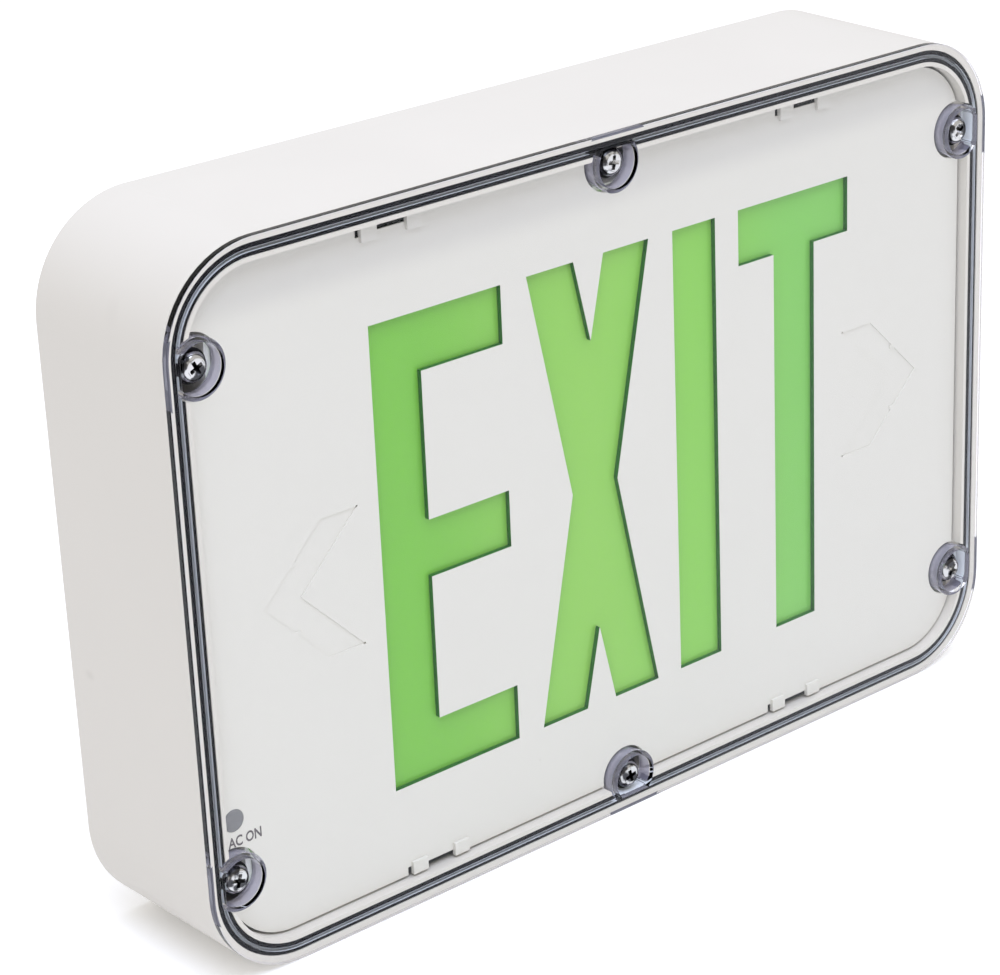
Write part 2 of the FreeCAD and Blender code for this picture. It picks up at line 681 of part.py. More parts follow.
def catch_cuts(x, direction):
    """The slot between the blocks, the gap to the left of them, and the hollow under each one."""
    edge = faceplate_edge()
    top = FACEPLATE_FRONT - CATCH_BLOCK_PROUD
    cuts = [catch_box(x, CATCH_SLOT_WIDTH, direction, FACEPLATE_FRONT, FACEPLATE_BACK,
                      edge - CATCH_SLOT_HEIGHT, edge)]
    gap_offset = catch_block_offset() + (CATCH_BLOCK_WIDTH + CATCH_GAP_WIDTH) / 2
    cuts.append(catch_box(x - gap_offset, CATCH_GAP_WIDTH, direction, FACEPLATE_FRONT,
                          FACEPLATE_BACK, edge - CATCH_GAP_HEIGHT, edge))
    arm_width = CATCH_BLOCK_WIDTH - 2 * CATCH_BLOCK_SKIN
    for side in (-1, 1):
        middle = x + side * catch_block_offset()
        cuts.append(catch_box(middle, arm_width, direction, top + CATCH_BLOCK_SKIN, FACEPLATE_BACK,
                              edge - CATCH_SLOT_HEIGHT, edge - CATCH_BLOCK_SKIN / 2))
        cuts.append(catch_box(middle, arm_width, direction, top + CATCH_BLOCK_SKIN, FACEPLATE_FRONT,
                              edge - CATCH_BLOCK_HEIGHT + CATCH_BLOCK_SKIN, edge - CATCH_SLOT_HEIGHT))
    return cuts


def faceplate():
    """White stencil plate: legend, arrow lines, indicator hole, boss notches and catches."""
    plate = slab(FACEPLATE_INSET, FACEPLATE_FRONT, FACEPLATE_BACK)
    blocks = []
    cuts = legend_cutters() + [chevron_recess(side) for side in (-1, 1)]
    for x, direction in catch_points():
        blocks += catch_blocks(x, direction)
        cuts += catch_cuts(x, direction)
    cuts += boss_notches(FACEPLATE_FRONT, FACEPLATE_BACK)
    cuts.append(rod(INDICATOR_X, INDICATOR_Z, INDICATOR_DIAMETER / 2 + INDICATOR_FIT_GAP,
                    FACEPLATE_FRONT, FACEPLATE_BACK))
    plate = fused([plate] + blocks)
    for tool in cuts:
        plate = plate.cut(tool)
    return plate.removeSplitter()


# ---- Light box: diffuser, tray and LED boards ---------------------------------------------------------

def boss_notches(front, back):
    """Cutters that leave room round the cover's bosses in a plate behind it."""
    return [rod(x, z, BOSS_DIAMETER / 2 + BOSS_NOTCH_GAP, front, back)
            for x, z in cover_screw_points()]


def green_diffuser():
    """Green translucent sheet that lies on the tray's rim, behind the letters."""
    sheet = slab(TRAY_INSET + TRAY_WALL - DIFFUSER_OVERLAP, DIFFUSER_FRONT, DIFFUSER_BACK)
    return sheet.cut(Part.makeCompound(boss_notches(DIFFUSER_FRONT, DIFFUSER_BACK)))


def snap_arms(x, direction):
    """Two arms that reach out from the tray's wall and hook over the faceplate under its blocks."""
    edge = faceplate_edge()
    width = CATCH_BLOCK_WIDTH - 2 * CATCH_BLOCK_SKIN - 2 * ARM_SIDE_GAP
    wall = FRONT_HEIGHT / 2 - TRAY_INSET - TRAY_WALL / 2
    inner = edge - CATCH_SLOT_HEIGHT + ARM_SIDE_GAP / 3
    tip = FACEPLATE_FRONT - CATCH_BLOCK_PROUD + CATCH_BLOCK_SKIN + ARM_SIDE_GAP / 3
    shelf_front = FACEPLATE_BACK + 3 * ARM_SHELF
    pieces = []
    for side in (-1, 1):
        middle = x + side * catch_block_offset()
        pieces.append(catch_box(middle, width, direction, shelf_front, shelf_front + ARM_SHELF,
                                wall, inner + ARM_THICKNESS))
        pieces.append(catch_box(middle, width, direction, tip, shelf_front + ARM_SHELF,
                                inner, inner + ARM_THICKNESS))
        pieces.append(catch_box(middle, width, direction, tip, FACEPLATE_FRONT - ARM_SIDE_GAP / 3,
                                inner - ARM_NOSE, inner))
    return pieces


def light_tray():
    """White open box behind the diffuser, with the snap arms and four screw holes."""
    outer = slab(TRAY_INSET, TRAY_FRONT, TRAY_BACK)
    inner = slab(TRAY_INSET + TRAY_WALL, TRAY_FRONT, TRAY_FLOOR_FRONT)
    pieces = [outer.cut(inner)]
    for x, direction in catch_points():
        pieces += snap_arms(x, direction)
    body = fused(pieces)
    for x, z in tray_screw_points():
        body = body.cut(rod(x, z, SMALL_SCREW_DIAMETER / 2 + SCREW_CLEARANCE,
                            TRAY_FLOOR_FRONT, TRAY_BACK))
    return body


def led_board_depths():
    """Front and back of the LED boards, centred in the tray's depth."""
    middle = (TRAY_FRONT + TRAY_FLOOR_FRONT) / 2
    return middle - LED_BOARD_WIDTH / 2, middle + LED_BOARD_WIDTH / 2


def led_board_length():
    return FRONT_WIDTH - 2 * (TRAY_INSET + TRAY_WALL + LED_BOARD_END_GAP)


def led_board(direction):
    """Narrow circuit board on the inside of the tray's upper or lower wall."""
    front, back = led_board_depths()
    seat = FRONT_HEIGHT / 2 - TRAY_INSET - TRAY_WALL - LAYER_GAP
    return catch_box(0, led_board_length(), direction, front, back, seat - BOARD_THICKNESS, seat)


def leds(direction):
    """Row of LEDs along a board, which shine towards the middle of the tray."""
    front, back = led_board_depths()
    middle = (front + back) / 2
    seat = FRONT_HEIGHT / 2 - TRAY_INSET - TRAY_WALL - LAYER_GAP - BOARD_THICKNESS
    pitch = led_board_length() / LED_COUNT
    row = []
    for index in range(LED_COUNT):
        x = (index + 0.5) * pitch - led_board_length() / 2
        row.append(catch_box(x, LED_LENGTH, direction, middle - LED_WIDTH / 2,
                             middle + LED_WIDTH / 2, seat - LED_HEIGHT, seat))
    return Part.makeCompound(row)


def small_screw(seat):
    """Self-tapping pan-head screw on the Y axis, its head's flat side at depth seat."""
    head = pan_head(SMALL_HEAD_DIAMETER, SMALL_HEAD_HEIGHT, seat)
    return fused([head, rod(0, 0, SMALL_SCREW_DIAMETER / 2, seat, seat + SMALL_SCREW_LENGTH)])


# ---- Electrics behind the tray ---------------------------------------------------------------------

def driver_board():
    """Charger and driver circuit board on four pillars."""
    board = block(DRIVER_CENTRE_X, DRIVER_WIDTH, DRIVER_FRONT, DRIVER_BACK,
                  -DRIVER_HEIGHT / 2, DRIVER_HEIGHT / 2)
    for x, z in driver_screw_points():
        board = board.cut(rod(x, z, SMALL_SCREW_DIAMETER / 2 + SCREW_CLEARANCE,
                              DRIVER_FRONT, DRIVER_BACK))
    return board


def on_board(offset_x, offset_z, width, length, height):
    """Box that stands on the driver board's front, its place counted from the board's middle."""
    return block(DRIVER_CENTRE_X + offset_x, width, DRIVER_FRONT - height, DRIVER_FRONT,
                 offset_z - length / 2, offset_z + length / 2)


def transformer():
    """Laminated core with its wound bobbin, whose upright edges are round."""
    core = on_board(TRANSFORMER_X, TRANSFORMER_Z, TRANSFORMER_WIDTH, TRANSFORMER_STACK,
                    TRANSFORMER_CORE_HEIGHT)
    coil = on_board(TRANSFORMER_X, TRANSFORMER_Z, COIL_WIDTH, COIL_LENGTH, COIL_HEIGHT)
    upright = [edge for edge in coil.Edges if edge.BoundBox.YLength > COIL_HEIGHT / 2]
    return fused([core, coil.makeFillet(COIL_ROUND, upright)])


def capacitors():
    """Electrolytic capacitors, upright in a row on the board."""
    cans = []
    z = CAPACITOR_TOP
    for diameter, height in CAPACITOR_SIZES:
        cans.append(rod(DRIVER_CENTRE_X + CAPACITOR_X, z - diameter / 2, diameter / 2,
                        DRIVER_FRONT - height, DRIVER_FRONT))
        z -= diameter + CAPACITOR_GAP
    return Part.makeCompound(cans)


def transfer_relay():
    """Relay that switches the LEDs to the battery when the supply fails."""
    return on_board(RELAY_X, RELAY_Z, RELAY_WIDTH, RELAY_LENGTH, RELAY_HEIGHT)


def terminal_block():
    """Screw terminal for the supply, on the board's edge nearest to the entry."""
    x = TERMINAL_WIDTH / 2 - DRIVER_WIDTH / 2 + DRIVER_HOLE_INSET
    length = TERMINAL_POLES * TERMINAL_PITCH
    body = on_board(x, TERMINAL_Z, TERMINAL_WIDTH, length, TERMINAL_HEIGHT)
    top = DRIVER_FRONT - TERMINAL_HEIGHT
    for index in range(TERMINAL_POLES):
        z = TERMINAL_Z - length / 2 + (index + 0.5) * TERMINAL_PITCH
        body = body.cut(rod(DRIVER_CENTRE_X + x, z, TERMINAL_SCREW / 2, top,
                            top + TERMINAL_SCREW_DEPTH))
    return body


def battery_pack():
    """Sealed pack of cells side by side in one sleeve, lying on the rear wall."""
    radius = battery_thickness() / 2
    middle = POCKET_FLOOR - LAYER_GAP - radius
    cells = []
    for index in range(BATTERY_CELLS):
        z = BATTERY_CENTRE_Z + (index - (BATTERY_CELLS - 1) / 2) * BATTERY_CELL_DIAMETER
        start = V(BATTERY_CENTRE_X - battery_width() / 2, middle, z)
        cells.append(Part.makeCylinder(radius, battery_width(), start, V(1, 0, 0)))
    span = (BATTERY_CELLS - 1) * BATTERY_CELL_DIAMETER
    web = block(BATTERY_CENTRE_X, battery_width(), middle - BATTERY_WEB_THICKNESS / 2,
                middle + BATTERY_WEB_THICKNESS / 2,
                BATTERY_CENTRE_Z - span / 2, BATTERY_CENTRE_Z + span / 2)
    return fused(cells + [web])


def battery_strap():
    """Bent steel strap over the pack, with a foot at each end."""
    gap = LAYER_GAP
    half = battery_length() / 2 + gap
    top = POCKET_FLOOR - battery_thickness() - 2 * gap
    foot_back = STRAP_SEAT
    points = []
    for side in (-1, 1):
        corner = [(side * (half + STRAP_THICKNESS + STRAP_FOOT), foot_back),
                  (side * (half + STRAP_THICKNESS + STRAP_FOOT), foot_back - STRAP_THICKNESS),
                  (side * (half + STRAP_THICKNESS), foot_back - STRAP_THICKNESS),
                  (side * (half + STRAP_THICKNESS), top - STRAP_THICKNESS)]
        points += corner if side < 0 else corner[::-1]
    inner = []
    for side in (1, -1):
        corner = [(side * half, foot_back), (side * half, top)]
        inner += corner if side > 0 else corner[::-1]
    left = BATTERY_CENTRE_X - STRAP_WIDTH / 2
    corners = [V(left, y, BATTERY_CENTRE_Z + z) for z, y in points + inner]
    strap = Part.Face(Part.makePolygon(corners + corners[:1])).extrude(V(STRAP_WIDTH, 0, 0))
    for x, z in strap_screw_points():
        strap = strap.cut(rod(x, z, SMALL_SCREW_DIAMETER / 2 + SCREW_CLEARANCE,
                              foot_back - STRAP_THICKNESS, foot_back))
    return strap


# ---- Supply indicator ---------------------------------------------------------------------------------

def indicator_lens():
    """Light pipe: a round face flush in the faceplate, a flange behind it, and a stem."""
    radius = INDICATOR_DIAMETER / 2
    flange_back = FACEPLATE_BACK + INDICATOR_FLANGE_THICKNESS
    return fused([
        rod(INDICATOR_X, INDICATOR_Z, radius, FACEPLATE_FRONT, FACEPLATE_BACK),
        rod(INDICATOR_X, INDICATOR_Z, radius + INDICATOR_FLANGE, FACEPLATE_BACK, flange_back),
        rod(INDICATOR_X, INDICATOR_Z, INDICATOR_STEM_RADIUS, FACEPLATE_BACK,
            FACEPLATE_BACK + INDICATOR_STEM_LENGTH)])


def indicator_board():
    """Small circuit board, staked on two pillars in the lower left corner."""
    board = block(INDICATOR_X, INDICATOR_BOARD_WIDTH, INDICATOR_BOARD_FRONT, INDICATOR_BOARD_BACK,
                  INDICATOR_Z - INDICATOR_BOARD_HEIGHT / 2, INDICATOR_Z + INDICATOR_BOARD_HEIGHT / 2)
    for x, z in indicator_post_points():
        board = board.cut(rod(x, z, INDICATOR_PIN_RADIUS + INDICATOR_FIT_GAP,
                              INDICATOR_BOARD_FRONT, INDICATOR_BOARD_BACK))
    return board


def indicator_led():
    """Round-nosed LED that shines into the light pipe's stem."""
    nose_y = INDICATOR_BOARD_FRONT - INDICATOR_LED_LENGTH
    collar_front = INDICATOR_BOARD_FRONT - INDICATOR_FLANGE_THICKNESS
    return fused([
        rod(INDICATOR_X, INDICATOR_Z, INDICATOR_LED_RADIUS + INDICATOR_LED_COLLAR, collar_front,
            INDICATOR_BOARD_FRONT),
        rod(INDICATOR_X, INDICATOR_Z, INDICATOR_LED_RADIUS, nose_y, INDICATOR_BOARD_FRONT),
        Part.makeSphere(INDICATOR_LED_RADIUS, V(INDICATOR_X, nose_y, INDICATOR_Z))])


def reed_switch():
    """Sealed test switch that a magnet held against the housing's side closes."""
    start = V(INDICATOR_X, INDICATOR_BOARD_FRONT - REED_RADIUS, INDICATOR_Z + REED_OFFSET)
    return Part.makeCylinder(REED_RADIUS, REED_LENGTH, start, V(0, 0, 1))


# ---- Build ------------------------------------------------------------------------------------------

def all_parts():
    cover_points = cover_screw_points()
    return {
        "back_housing": back_housing(),
        "clear_cover": clear_cover(),
        "cover_gasket": cover_gasket(),
        "cover_screws": cover_screws(),
        "screw_seals": at_points(screw_seal(), cover_points),
        "screw_inserts": at_points(screw_insert(), cover_points),
        "faceplate": faceplate(),
        "green_diffuser": green_diffuser(),
        "light_tray": light_tray(),
        "tray_screws": at_points(small_screw(TRAY_FLOOR_FRONT), tray_screw_points()),
        "led_board_upper": led_board(1),
        "led_board_lower": led_board(-1),
        "leds_upper": leds(1),
        "leds_lower": leds(-1),
        "driver_board": driver_board(),
        "driver_screws": at_points(small_screw(DRIVER_FRONT), driver_screw_points()),
        "transformer": transformer(),
        "capacitors": capacitors(),
        "transfer_relay": transfer_relay(),
        "terminal_block": terminal_block(),
        "battery_pack": battery_pack(),
        "battery_strap": battery_strap(),
        "strap_screws": at_points(small_screw(STRAP_SEAT - STRAP_THICKNESS), strap_screw_points()),
        "indicator_lens": indicator_lens(),
        "indicator_board": indicator_board(),
        "indicator_led": indicator_led(),
        "reed_switch": reed_switch(),
    }


def main():
    os.makedirs("parts", exist_ok=True)
    for name, shape in all_parts().items():
        shape.exportStep(os.path.join("parts", name + ".step"))
        print(name, "solids", len(shape.Solids), "valid", shape.isValid(),
              "volume cm3 %.2f" % (shape.Volume / 1000))


main()
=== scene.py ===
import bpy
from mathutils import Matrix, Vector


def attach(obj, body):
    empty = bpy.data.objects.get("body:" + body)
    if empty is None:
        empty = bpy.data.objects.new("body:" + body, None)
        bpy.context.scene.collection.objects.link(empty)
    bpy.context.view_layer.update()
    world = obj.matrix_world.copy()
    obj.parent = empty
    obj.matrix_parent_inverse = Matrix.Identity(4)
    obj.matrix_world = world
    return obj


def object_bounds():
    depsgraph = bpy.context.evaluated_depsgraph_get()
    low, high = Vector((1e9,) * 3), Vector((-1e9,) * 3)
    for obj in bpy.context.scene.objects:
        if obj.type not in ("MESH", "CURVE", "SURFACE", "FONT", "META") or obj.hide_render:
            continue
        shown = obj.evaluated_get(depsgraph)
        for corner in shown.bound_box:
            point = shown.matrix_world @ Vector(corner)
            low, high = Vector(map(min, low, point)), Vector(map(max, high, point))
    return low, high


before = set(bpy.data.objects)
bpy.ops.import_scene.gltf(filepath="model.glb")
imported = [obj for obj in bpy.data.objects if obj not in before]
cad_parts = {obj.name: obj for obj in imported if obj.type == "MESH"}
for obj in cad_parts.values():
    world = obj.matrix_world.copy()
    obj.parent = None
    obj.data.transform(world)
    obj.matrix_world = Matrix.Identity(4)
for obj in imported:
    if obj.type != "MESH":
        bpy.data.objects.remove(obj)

"""Looks of a wall-mounted emergency exit light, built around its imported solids.

Names that end in _mm or _MM are in millimetres, and other lengths are in metres. +X is to the
reader's right, +Y goes into the wall, +Z is up, and the origin is the centre of the rear face.
"""

import logging
from collections.abc import Sequence
from dataclasses import dataclass, field
from enum import Enum
from math import radians

import bpy
import numpy as np
from mathutils import Euler, Vector

CAD_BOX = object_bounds()
LOG = logging.getLogger("exit_light")
ROOT = "root"
MM = 0.001
RIM_HALF_WIDTH_MM = 170.335
RIM_HALF_HEIGHT_MM = 115.615
RIM_CORNER_MM = 32.0
RIM_FRONT_MM = -63.5
PLATE_FRONT_MM = -60.0
SCREW_PLACES_MM = ((-159.2, 81.4), (-159.2, -81.4), (0.0, 105.5), (0.0, -105.5),
                   (159.2, 81.4), (159.2, -81.4))
CATCH_PLACES_MM = ((-86.0, 107.0), (86.0, 107.0), (-80.3, -107.0), (80.3, -107.0))
ANY_DEPTH_MM = 400.0
ANY_LENGTH_MM = 4000.0

Node = bpy.types.Node
Socket = bpy.types.NodeSocket
Colour = tuple[float, float, float]
Lengths = tuple[float, float, float]
Span = tuple[float, float]
Value = Socket | float
Paint = Socket | Colour


# ---- Finishes ---------------------------------------------------------------------------------------

@dataclass(frozen=True)
class Finish:
    """How a surface looks.

    Args:
        name: Material name.
        colour: Linear base colour.
        roughness: Mean roughness.
        grain_mm: Size of the fine surface grain.
        bump_mm: Height of that grain.
        tone: Share by which the colour wanders over the piece.
        patch_mm: Size of the colour's patches.
        metallic: 1 for metal.
        specular: Level of the plain mirror reflection, 0.5 for common plastic.
    """

    name: str
    colour: Colour
    roughness: float
    grain_mm: float = 0.6
    bump_mm: float = 0.01
    tone: float = 0.02
    patch_mm: float = 40.0
    metallic: float = 0.0
    specular: float = 0.5


class Look(Enum):
    """The finishes of the pieces."""

    HOUSING = Finish("housing_plastic", (0.662, 0.631, 0.574), roughness=0.5,
                     grain_mm=0.7, bump_mm=0.018, tone=0.03, patch_mm=60.0)
    FACEPLATE = Finish("faceplate_plastic", (0.692, 0.674, 0.617), roughness=0.45,
                       grain_mm=0.5, bump_mm=0.006, tone=0.012, patch_mm=80.0)
    DIFFUSER = Finish("green_sheet", (0.173, 0.503, 0.046), roughness=0.4,
                      grain_mm=0.4, bump_mm=0.006, tone=0.04, patch_mm=30.0)
    TRAY = Finish("tray_plastic", (0.85, 0.85, 0.84), roughness=0.3,
                  grain_mm=0.5, bump_mm=0.004, tone=0.01, patch_mm=60.0)
    GASKET = Finish("gasket_rubber", (0.004, 0.004, 0.006), roughness=0.6,
                    grain_mm=0.4, bump_mm=0.01, tone=0.2, patch_mm=10.0, specular=0.08)
    SEAL = Finish("seal_rubber", (0.004, 0.004, 0.005), roughness=0.55,
                  grain_mm=0.3, bump_mm=0.01, tone=0.2, patch_mm=5.0, specular=0.15)
    STEEL = Finish("screw_steel", (0.58, 0.575, 0.57), roughness=0.16,
                   grain_mm=0.25, bump_mm=0.012, tone=0.1, patch_mm=4.0, metallic=1.0)
    ZINC = Finish("zinc_plate", (0.55, 0.56, 0.58), roughness=0.35,
                  grain_mm=0.4, bump_mm=0.01, tone=0.1, patch_mm=4.0, metallic=1.0)
    BRASS = Finish("insert_brass", (0.55, 0.36, 0.12), roughness=0.35,
                   grain_mm=0.4, bump_mm=0.02, tone=0.1, patch_mm=3.0, metallic=1.0)
    BOARD = Finish("circuit_board", (0.01, 0.12, 0.035), roughness=0.35,
                   grain_mm=0.8, bump_mm=0.01, tone=0.15, patch_mm=6.0)
    LED = Finish("led_resin", (0.75, 0.65, 0.25), roughness=0.3,
                 grain_mm=0.4, bump_mm=0.004, tone=0.05, patch_mm=2.0)
    CORE = Finish("transformer_core", (0.07, 0.07, 0.075), roughness=0.4,
                  grain_mm=0.5, bump_mm=0.05, tone=0.2, patch_mm=4.0, metallic=0.6)
    CAN = Finish("capacitor_sleeve", (0.015, 0.02, 0.04), roughness=0.3,
                 grain_mm=0.6, bump_mm=0.004, tone=0.1, patch_mm=6.0)
    RELAY = Finish("relay_case", (0.02, 0.05, 0.20), roughness=0.3,
                   grain_mm=0.6, bump_mm=0.004, tone=0.05, patch_mm=8.0)
    TERMINAL = Finish("terminal_moulding", (0.03, 0.22, 0.07), roughness=0.45,
                      grain_mm=0.5, bump_mm=0.01, tone=0.05, patch_mm=8.0)
    BATTERY = Finish("battery_sleeve", (0.60, 0.45, 0.02), roughness=0.3,
                     grain_mm=0.7, bump_mm=0.01, tone=0.05, patch_mm=12.0)
    INDICATOR = Finish("indicator_lens", (0.187, 0.186, 0.192), roughness=0.3,
                       grain_mm=0.4, bump_mm=0.02, tone=0.25, patch_mm=2.2)
    RED = Finish("indicator_led", (0.5, 0.01, 0.01), roughness=0.25,
                 grain_mm=0.4, bump_mm=0.004, tone=0.05, patch_mm=2.0)
    REED = Finish("reed_capsule", (0.45, 0.55, 0.50), roughness=0.15,
                  grain_mm=0.4, bump_mm=0.002, tone=0.05, patch_mm=2.0)
    PRINT = Finish("grey_print", (0.115, 0.10, 0.105), roughness=0.6,
                   grain_mm=0.2, bump_mm=0.002, tone=0.15, patch_mm=1.0)


PLAIN_LOOKS = {
    "cover_gasket": Look.GASKET, "screw_seals": Look.SEAL, "screw_inserts": Look.BRASS,
    "light_tray": Look.TRAY, "tray_screws": Look.ZINC, "led_board_upper": Look.BOARD,
    "led_board_lower": Look.BOARD, "leds_upper": Look.LED, "leds_lower": Look.LED,
    "driver_board": Look.BOARD, "driver_screws": Look.ZINC, "transformer": Look.CORE,
    "capacitors": Look.CAN, "transfer_relay": Look.RELAY, "terminal_block": Look.TERMINAL,
    "battery_pack": Look.BATTERY, "battery_strap": Look.ZINC, "strap_screws": Look.ZINC,
    "indicator_lens": Look.INDICATOR, "indicator_board": Look.BOARD, "indicator_led": Look.RED,
    "reed_switch": Look.REED,
}


# ---- Shader helpers ---------------------------------------------------------------------------------

class Wiring:
    """Short calls for the nodes of one node tree."""

    def __init__(self, tree: bpy.types.NodeTree) -> None:
        """Work on a tree.

        Args:
            tree: The tree that gets the nodes.
        """
        self.tree = tree

    def node(self, kind: str, **properties: str) -> Node:
        """Add a node.

        Args:
            kind: Blender's node type.
            **properties: The node's properties by name.

        Returns:
            The node.
        """
        made = self.tree.nodes.new(kind)
        for name, value in properties.items():
            setattr(made, name, value)
        return made

    def group(self, tree: bpy.types.NodeTree) -> Node:
        """Place a shared node group.

        Args:
            tree: The group.

        Returns:
            Its node.
        """
        made = self.node("ShaderNodeGroup")
        made.node_tree = tree
        return made

    def link(self, start: Socket, end: Socket) -> None:
        """Join an output socket to an input socket."""
        self.tree.links.new(start, end)

    def give(self, end: Socket, value: Value | Colour) -> None:
        """Link an input socket to another socket, or set it to a number or a colour.

        Args:
            end: The input.
            value: A socket, a number, or a colour of three shares.
        """
        if isinstance(value, Socket):
            self.link(value, end)
        else:
            end.default_value = (*value, 1.0) if isinstance(value, tuple) else value

    def maths(self, operation: str, first: Value, second: Value) -> Socket:
        """Add a Math node.

        Args:
            operation: Its operation.
            first: A socket or a number.
            second: A socket or a number.

        Returns:
            Its output.
        """
        made = self.node("ShaderNodeMath", operation=operation)
        self.give(made.inputs[0], first)
        self.give(made.inputs[1], second)
        return made.outputs[0]

    def largest(self, *values: Value) -> Socket:
        """The largest of some values, each a socket or a number.

        Args:
            *values: The values.

        Returns:
            The largest one's socket.
        """
        chosen = values[0]
        for value in values[1:]:
            chosen = self.maths("MAXIMUM", chosen, value)
        return chosen

    def vector(self, operation: str, first: Socket, second: Sequence[float] = (0.0, 0.0, 0.0)) -> Node:
        """Add a Vector Math node.

        Args:
            operation: Its operation.
            first: The vector it works on.
            second: The fixed second vector, where the operation has one.

        Returns:
            The node.
        """
        made = self.node("ShaderNodeVectorMath", operation=operation)
        self.link(first, made.inputs[0])
        made.inputs[1].default_value = second
        return made

    def position(self) -> Socket:
        """Where the surface is, in metres on the piece's own axes."""
        return self.node("ShaderNodeTexCoord").outputs["Object"]

    def coordinates(self, vector: Socket) -> tuple[Socket, Socket, Socket]:
        """Split a vector.

        Args:
            vector: The vector's socket.

        Returns:
            Its X, Y and Z.
        """
        apart = self.node("ShaderNodeSeparateXYZ")
        self.link(vector, apart.inputs[0])
        return apart.outputs["X"], apart.outputs["Y"], apart.outputs["Z"]

    def step(self, value: Socket, start: float, stop: float, low: float = 0.0, high: float = 1.0) -> Socket:
        """Change smoothly from one level to another.

        Args:
            value: What the change depends on.
            start: The value at which it starts.
            stop: The value at which it ends.
            low: Level before the start.
            high: Level after the stop.

        Returns:
            The level's socket.
        """
        made = self.node("ShaderNodeMapRange", interpolation_type="SMOOTHSTEP")
        for name, number in (("From Min", start), ("From Max", stop), ("To Min", low), ("To Max", high)):
            made.inputs[name].default_value = number
        self.link(value, made.inputs["Value"])
        return made.outputs[0]

    def blend_colour(self, share: Value, first: Paint, second: Paint) -> Socket:
        """Mix two colours.

        Args:
            share: How much of the second colour, as a socket or a number.
            first: A colour or its socket.
            second: A colour or its socket.

        Returns:
            The mixed colour's socket.
        """
        made = self.node("ShaderNodeMix", data_type="RGBA")
        for index, value in ((0, share), (6, first), (7, second)):
            self.give(made.inputs[index], value)
        return made.outputs[2]

    def distance(self, centre_mm: Lengths, reach_mm: Lengths) -> Socket:
        """Distance from a point to the surface, each axis divided by its own reach.

        Args:
            centre_mm: The point.
            reach_mm: The length along each axis that counts as 1.

        Returns:
            The distance's socket.
        """
        moved = self.vector("SUBTRACT", self.position(), Vector(centre_mm) * MM)
        scaled = self.vector("MULTIPLY", moved.outputs[0], [1 / MM / part for part in reach_mm])
        return self.vector("LENGTH", scaled.outputs[0]).outputs["Value"]

    def within(self, centre_mm: Lengths, reach_mm: Lengths) -> Socket:
        """Tell whether the surface lies in an ellipsoid.

        Args:
            centre_mm: Its centre.
            reach_mm: Its three half-lengths.

        Returns:
            The socket, 1 inside and 0 outside.
        """
        return self.maths("LESS_THAN", self.distance(centre_mm, reach_mm), 1.0)


class Shader(Wiring):
    """A material under construction.

    Its attributes principled, colour and tone are its main shader, the socket of its base colour and
    the socket of its slow tone patches, where surface_material has made them.
    """

    def __init__(self, name: str) -> None:
        """Start an empty material.

        Args:
            name: Name of the material.
        """
        self.material = bpy.data.materials.new(name)
        self.material.use_nodes = True
        super().__init__(self.material.node_tree)
        self.tree.nodes.clear()
        self.output = self.node("ShaderNodeOutputMaterial")
        self.principled: Node | None = None
        self.colour: Socket | None = None
        self.tone: Socket | None = None

    def paint(self, share: Socket, second: Paint) -> None:
        """Lay another colour over the base colour.

        Args:
            share: How much of it.
            second: The colour or its socket.
        """
        self.colour = self.blend_colour(share, self.colour, second)
        self.link(self.colour, self.principled.inputs["Base Color"])

    def mix(self, share: Socket, first: Node, second: Node) -> Node:
        """Mix two shaders.

        Args:
            share: How much of the second.
            first: A shader node.
            second: A shader node.

        Returns:
            The Mix Shader node.
        """
        made = self.node("ShaderNodeMixShader")
        for index, start in enumerate((share, first.outputs[0], second.outputs[0])):
            self.link(start, made.inputs[index])
        return made


def noise(wiring: Wiring, size_mm: Socket, factor: float, detail: float) -> Socket:
    """Noise over the surface.

    Args:
        wiring: The tree that gets it.
        size_mm: Socket with the size of its patches.
        factor: Number that multiplies the size.
        detail: Octaves.

    Returns:
        The noise's socket.
    """
    made = wiring.node("ShaderNodeTexNoise")
    made.inputs["Detail"].default_value = detail
    wiring.link(wiring.position(), made.inputs["Vector"])
    wiring.link(wiring.maths("DIVIDE", 1 / MM / factor, size_mm), made.inputs["Scale"])
    return made.outputs["Fac"]


def grain_group() -> bpy.types.NodeTree:
    """Node group shared by all finishes: fine grain height and slow tone patches.

    Height = 0.7 noise(P / grain) + 0.3 noise(P / 5 grain), and tone = noise(P / patch).

    Returns:
        The group, with inputs Grain and Patch in millimetres and outputs Height and Tone.
    """
    group = bpy.data.node_groups.new("surface_grain", "ShaderNodeTree")
    for name, default in (("Grain", 0.6), ("Patch", 40.0)):
        socket = group.interface.new_socket(name=name, in_out="INPUT", socket_type="NodeSocketFloat")
        socket.default_value = default
    for name in ("Height", "Tone"):
        group.interface.new_socket(name=name, in_out="OUTPUT", socket_type="NodeSocketFloat")
    wiring = Wiring(group)
    start, end = wiring.node("NodeGroupInput"), wiring.node("NodeGroupOutput")
    mixed = wiring.node("ShaderNodeMix")
    mixed.inputs[0].default_value = 0.3
    wiring.link(noise(wiring, start.outputs["Grain"], 1.0, 2.0), mixed.inputs[2])
    wiring.link(noise(wiring, start.outputs["Grain"], 5.0, 2.0), mixed.inputs[3])
    wiring.link(mixed.outputs[0], end.inputs["Height"])
    wiring.link(noise(wiring, start.outputs["Patch"], 1.0, 3.0), end.inputs["Tone"])
    return group


